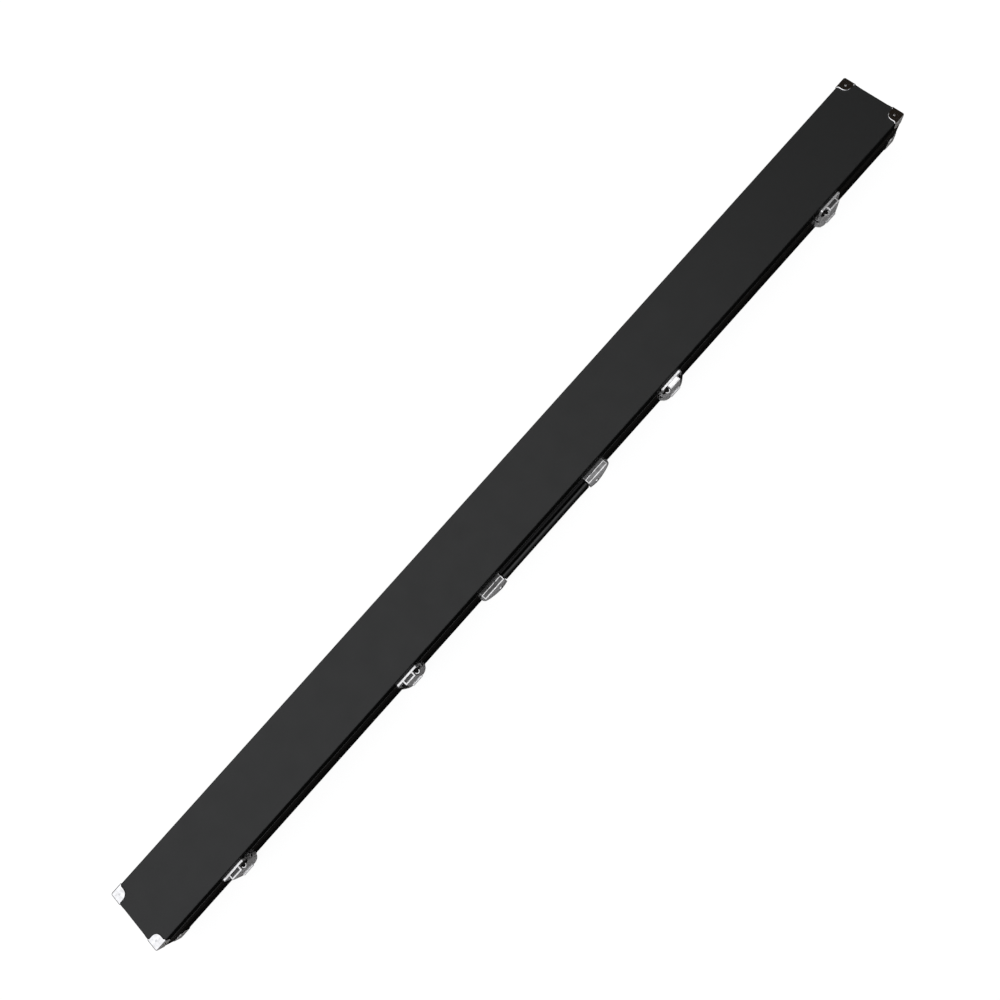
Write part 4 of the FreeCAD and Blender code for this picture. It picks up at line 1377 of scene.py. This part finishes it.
def lining(name, node, body):
    """A tray of felt inside one half: the floor and the walls up to the trim."""
    base = body == "base"
    low, high = node_box(node)
    low = low + Vector((LINING_INSET, LINING_INSET, LINING_INSET if base else 0))
    high = high - Vector((LINING_INSET, LINING_INSET, 0 if base else LINING_INSET))
    reach = Vector((0, 0, LINING_REACH))
    box = (low, high + reach) if base else (low - reach, high)
    lines = (
        levels(low.x, high.x, 9.0),
        levels(low.y, high.y, 6.0),
        levels(low.z, high.z, 4.0, ends=(base, not base)),
    )

    def lift(point, _):
        return 0.16 * noise.noise(point / 17) + 0.08 * noise.noise(point / 5)

    bm = walled_sheet(box, lines, low.z if base else high.z, 1 if base else -1, lift)
    piece = linked(name, bm, FELT)
    thickened(piece, FELT_T)
    finished(piece, body, (node,), width=0)


lining("base_felt_lining", "base_lining", "base")
lining("lid_felt_lining", "lid_lining", "lid")


# ---- Cue cradles and pads ----
CUE_Y = 20.0
CUE_AXIS_Z = 24.0
CUE_HALF_L = 735.0
CUE_BUTT_R = 14.5
CUE_TIP_R = 4.8
CUE_CLEARANCE = 0.8
GROOVE_EASE = 1.6
PAD_INSET = 1.0                # the foam starts this much smaller than its place
PAD_SWELL = 1.4                # the most that it is pressed outwards


def groove(middle, radius, start, end):
    angles = [start + (end - start) * k / 12 for k in range(13)]
    return [(middle + radius * math.cos(a), CUE_AXIS_Z + radius * math.sin(a)) for a in angles]


def pad_outline(half, low, high, centre_x, base):
    """The section across the case as (y from the middle, z), with the grooves for two cues."""
    outer = [(half, high), (-half, high), (-half, low), (half, low)]
    points = outer[2:] + outer[:1] if base else outer[:3]
    for side in (1, -1) if base else (-1, 1):
        middle = side * CUE_Y
        towards_butt = (centre_x * side + CUE_HALF_L) / (2 * CUE_HALF_L)
        radius = CUE_TIP_R + (CUE_BUTT_R - CUE_TIP_R) * towards_butt + CUE_CLEARANCE + PAD_INSET
        if base:
            points += [(middle + radius + GROOVE_EASE, high), (middle + radius, high - GROOVE_EASE)]
            points += groove(middle, radius, 0, -math.pi)
            points += [(middle - radius, high - GROOVE_EASE), (middle - radius - GROOVE_EASE, high)]
        else:
            reach = math.sqrt(max(0.0, radius ** 2 - (low - CUE_AXIS_Z) ** 2))
            ends = [math.atan2(low - CUE_AXIS_Z, x) for x in (-reach, reach)]
            points += groove(middle, radius, *ends)
    return points + [outer[1] if base else outer[3]]


def swollen(piece, low, high):
    """The piece pressed out by a cloth simulation, by no more than PAD_SWELL and inside its box."""
    remesh = piece.modifiers.new("remesh", "REMESH")
    remesh.mode = "VOXEL"
    remesh.voxel_size = 2.6 * MM
    baked(piece)
    relax = piece.modifiers.new("relax", "SMOOTH")
    relax.factor = 0.5
    relax.iterations = 3
    baked(piece)
    start = [v.co.copy() for v in piece.data.vertices]
    cloth = piece.modifiers.new("cloth", "CLOTH")
    cloth.settings.quality = 5
    cloth.settings.use_pressure = True
    cloth.settings.uniform_pressure_force = 4.0
    cloth.settings.effector_weights.gravity = 0.0
    cloth.settings.tension_stiffness = 15
    cloth.settings.compression_stiffness = 15
    cloth.settings.bending_stiffness = 0.5
    cloth.point_cache.frame_start = 1
    cloth.point_cache.frame_end = 20
    for number in range(1, 21):
        bpy.context.scene.frame_set(number)
    baked(piece)
    bpy.context.scene.frame_set(1)
    for v, rest in zip(piece.data.vertices, start):
        moved = v.co - rest
        if moved.length > PAD_SWELL * MM:
            v.co = rest + moved.normalized() * PAD_SWELL * MM
        v.co = Vector([min(max(c, a * MM), b * MM) for c, a, b in zip(v.co, low, high)])
    fine = piece.modifiers.new("fine", "SUBSURF")
    fine.levels = 1
    fine.render_levels = 1
    return baked(piece)


def foam(node, base):
    """A foam block in its place, from the node's box."""
    low, high = node_box(node)
    middle_y = (low.y + high.y) / 2
    half = (high.y - low.y) / 2 - PAD_INSET
    outline = pad_outline(half, low.z + PAD_INSET, high.z - PAD_INSET, (low.x + high.x) / 2, base)
    bm = prism(outline, low.x + PAD_INSET, high.x - PAD_INSET, 0)
    bm.transform(TO_METRES @ Matrix.Translation((0, middle_y, 0)))
    bmesh.ops.triangulate(bm, faces=[f for f in bm.faces if len(f.verts) > 4])
    bmesh.ops.recalc_face_normals(bm, faces=bm.faces)
    return swollen(linked(node + "_foam", bm, VELVET), low, high)


def turned_round(source, name):
    """A copy of the piece on the other side of the case, turned half round."""
    mesh = source.data.copy()
    mesh.transform(Matrix.Translation((0, 2 * MID_Y * MM, 0)) @ Matrix.Rotation(math.pi, 4, "Z"))
    piece = bpy.data.objects.new(name, mesh)
    bpy.context.scene.collection.objects.link(piece)
    return piece


FOAM_KINDS = (("base_cradle_", "base"), ("lid_pad_", "lid"))
made = {}
for place, (kind, body) in itertools.product(("left", "centre", "right"), FOAM_KINDS):
    node = kind + place
    if place == "right":
        made[node] = turned_round(made[kind + "left"], node + "_foam")
    else:
        made[node] = foam(node, body == "base")
    for polygon in made[node].data.polygons:
        polygon.use_smooth = True
    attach(made[node], body)
    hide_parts(node)


# ---- CAD nodes that stay as they are ----
KEPT = {
    "hinge_pins": HINGE_PLATE,
    "latch_springs": SPRING_PLATE,
    "latch_hasp_pins": SPRING_PLATE,
}
for name, node in cad_nodes.items():
    if not node.hide_render:
        node.data.materials.clear()
        node.data.materials.append(KEPT.get(name, PLYWOOD))


# ---- Floor, light and camera ----
FLOOR_HALF = 30.0              # metres
FLOOR_Z = -0.0002
FLOOR_BOUNCE = 0.56            # share of the floor's light that reaches the object
SKY = (1.40, 1.40, 1.42)
NEAR_SIDE = (1.17, 1.18, 1.22)
FAR_SIDE = (0.016, 0.012, 0.009)
FRONT_SIDE = (0.36, 0.37, 0.40)
HORIZON = (0.06, 0.057, 0.055)


def floor():
    """A pale floor: it lights the object softly, but shows only dimly in its reflections."""
    bm = bmesh.new()
    corners = ((-1, -1), (1, -1), (1, 1), (-1, 1))
    bm.faces.new([bm.verts.new((x * FLOOR_HALF, y * FLOOR_HALF, FLOOR_Z)) for x, y in corners])
    pale = Finish("pale_floor", specular=0.1)
    pale.roughness(0.9)
    pale.colour((0.12, 0.12, 0.12, 1.0))
    pale.put({"Emission Color": (1.0, 1.0, 1.0, 1.0), "Emission Strength": 0.93})
    dim = pale.node("BsdfDiffuse", {"Color": (0.030, 0.027, 0.024, 1.0)})
    rays = pale.node("LightPath").outputs
    bounce = {0: rays["Is Diffuse Ray"], 1: FLOOR_BOUNCE, 2: rays["Is Camera Ray"]}
    share = pale.node("Math", bounce, operation="MULTIPLY_ADD").outputs[0]
    shaders = {0: share, 1: dim.outputs[0], 2: pale.shader.outputs[0]}
    mixed = pale.node("MixShader", shaders).outputs[0]
    put(pale.tree, pale.tree.nodes["Material Output"].inputs, {"Surface": mixed})
    linked("floor", bm, pale.material)


def room():
    """Studio surroundings: a wide pale ceiling that ends dim and warm at the right, and a dark horizon."""
    world = bpy.data.worlds.new("studio")
    world.use_nodes = True
    tree = world.node_tree
    place = new_node(tree, "TexCoord").outputs["Generated"]
    split = new_node(tree, "SeparateXYZ", {0: place})
    colour = (*SKY, 1)
    for axis, start, end, side in (
        ("Y", -0.35, -0.70, FRONT_SIDE),
        ("X", -0.15, -0.60, NEAR_SIDE),
        ("X", 0.30, 0.50, FAR_SIDE),
        ("Z", 0.50, 0.10, HORIZON),
    ):
        ends = {"Value": split.outputs[axis], "From Min": start, "From Max": end}
        share = new_node(tree, "MapRange", ends, interpolation_type="SMOOTHSTEP").outputs["Result"]
        colour = new_node(tree, "Mix", {0: share, 6: colour, 7: (*side, 1)}, data_type="RGBA").outputs[2]
    seen = {0: new_node(tree, "LightPath").outputs["Is Camera Ray"], 6: colour, 7: (1, 1, 1, 1)}
    colour = new_node(tree, "Mix", seen, data_type="RGBA").outputs[2]
    put(tree, tree.nodes["Background"].inputs, {"Color": colour})
    bpy.context.scene.world = world


CAMERA_TILT = math.radians(74.265)
CAMERA_YAW = math.radians(1.732)
CAMERA_ROLL = math.radians(0.156)
CAMERA_TURN = math.radians(47.972)
CAMERA_AWAY = 1.1956           # metres from the aim
CAMERA_AIM = Vector((-0.00904, MID_Y * MM + 0.01215, TOP_Z * MM))
LENS = 31.22


def camera():
    e, yaw, roll, turn = CAMERA_TILT, CAMERA_YAW, CAMERA_ROLL, CAMERA_TURN
    forward = Vector((0, math.cos(e), -math.sin(e)))
    right = Vector((1, 0, 0))
    down = Vector((0, -math.sin(e), -math.cos(e)))
    right, forward = (
        right * math.cos(yaw) - forward * math.sin(yaw),
        forward * math.cos(yaw) + right * math.sin(yaw),
    )
    right, down = (
        right * math.cos(roll) + down * math.sin(roll),
        down * math.cos(roll) - right * math.sin(roll),
    )
    axis_x = right * math.cos(turn) + down * math.sin(turn)
    axis_y = right * math.sin(turn) - down * math.cos(turn)
    data = bpy.data.cameras.new("camera")
    data.lens = LENS
    data.sensor_width = 36.0
    data.clip_start, data.clip_end = 0.01, 200.0
    eye = bpy.data.objects.new("camera", data)
    bpy.context.scene.collection.objects.link(eye)
    turned = Matrix((axis_x, axis_y, -forward)).transposed().to_4x4()
    eye.matrix_world = Matrix.Translation(CAMERA_AIM - forward * CAMERA_AWAY) @ turned
    bpy.context.scene.camera = eye


floor()
room()
camera()
bpy.context.scene.view_settings.view_transform = "Standard"

bpy.context.view_layer.update()
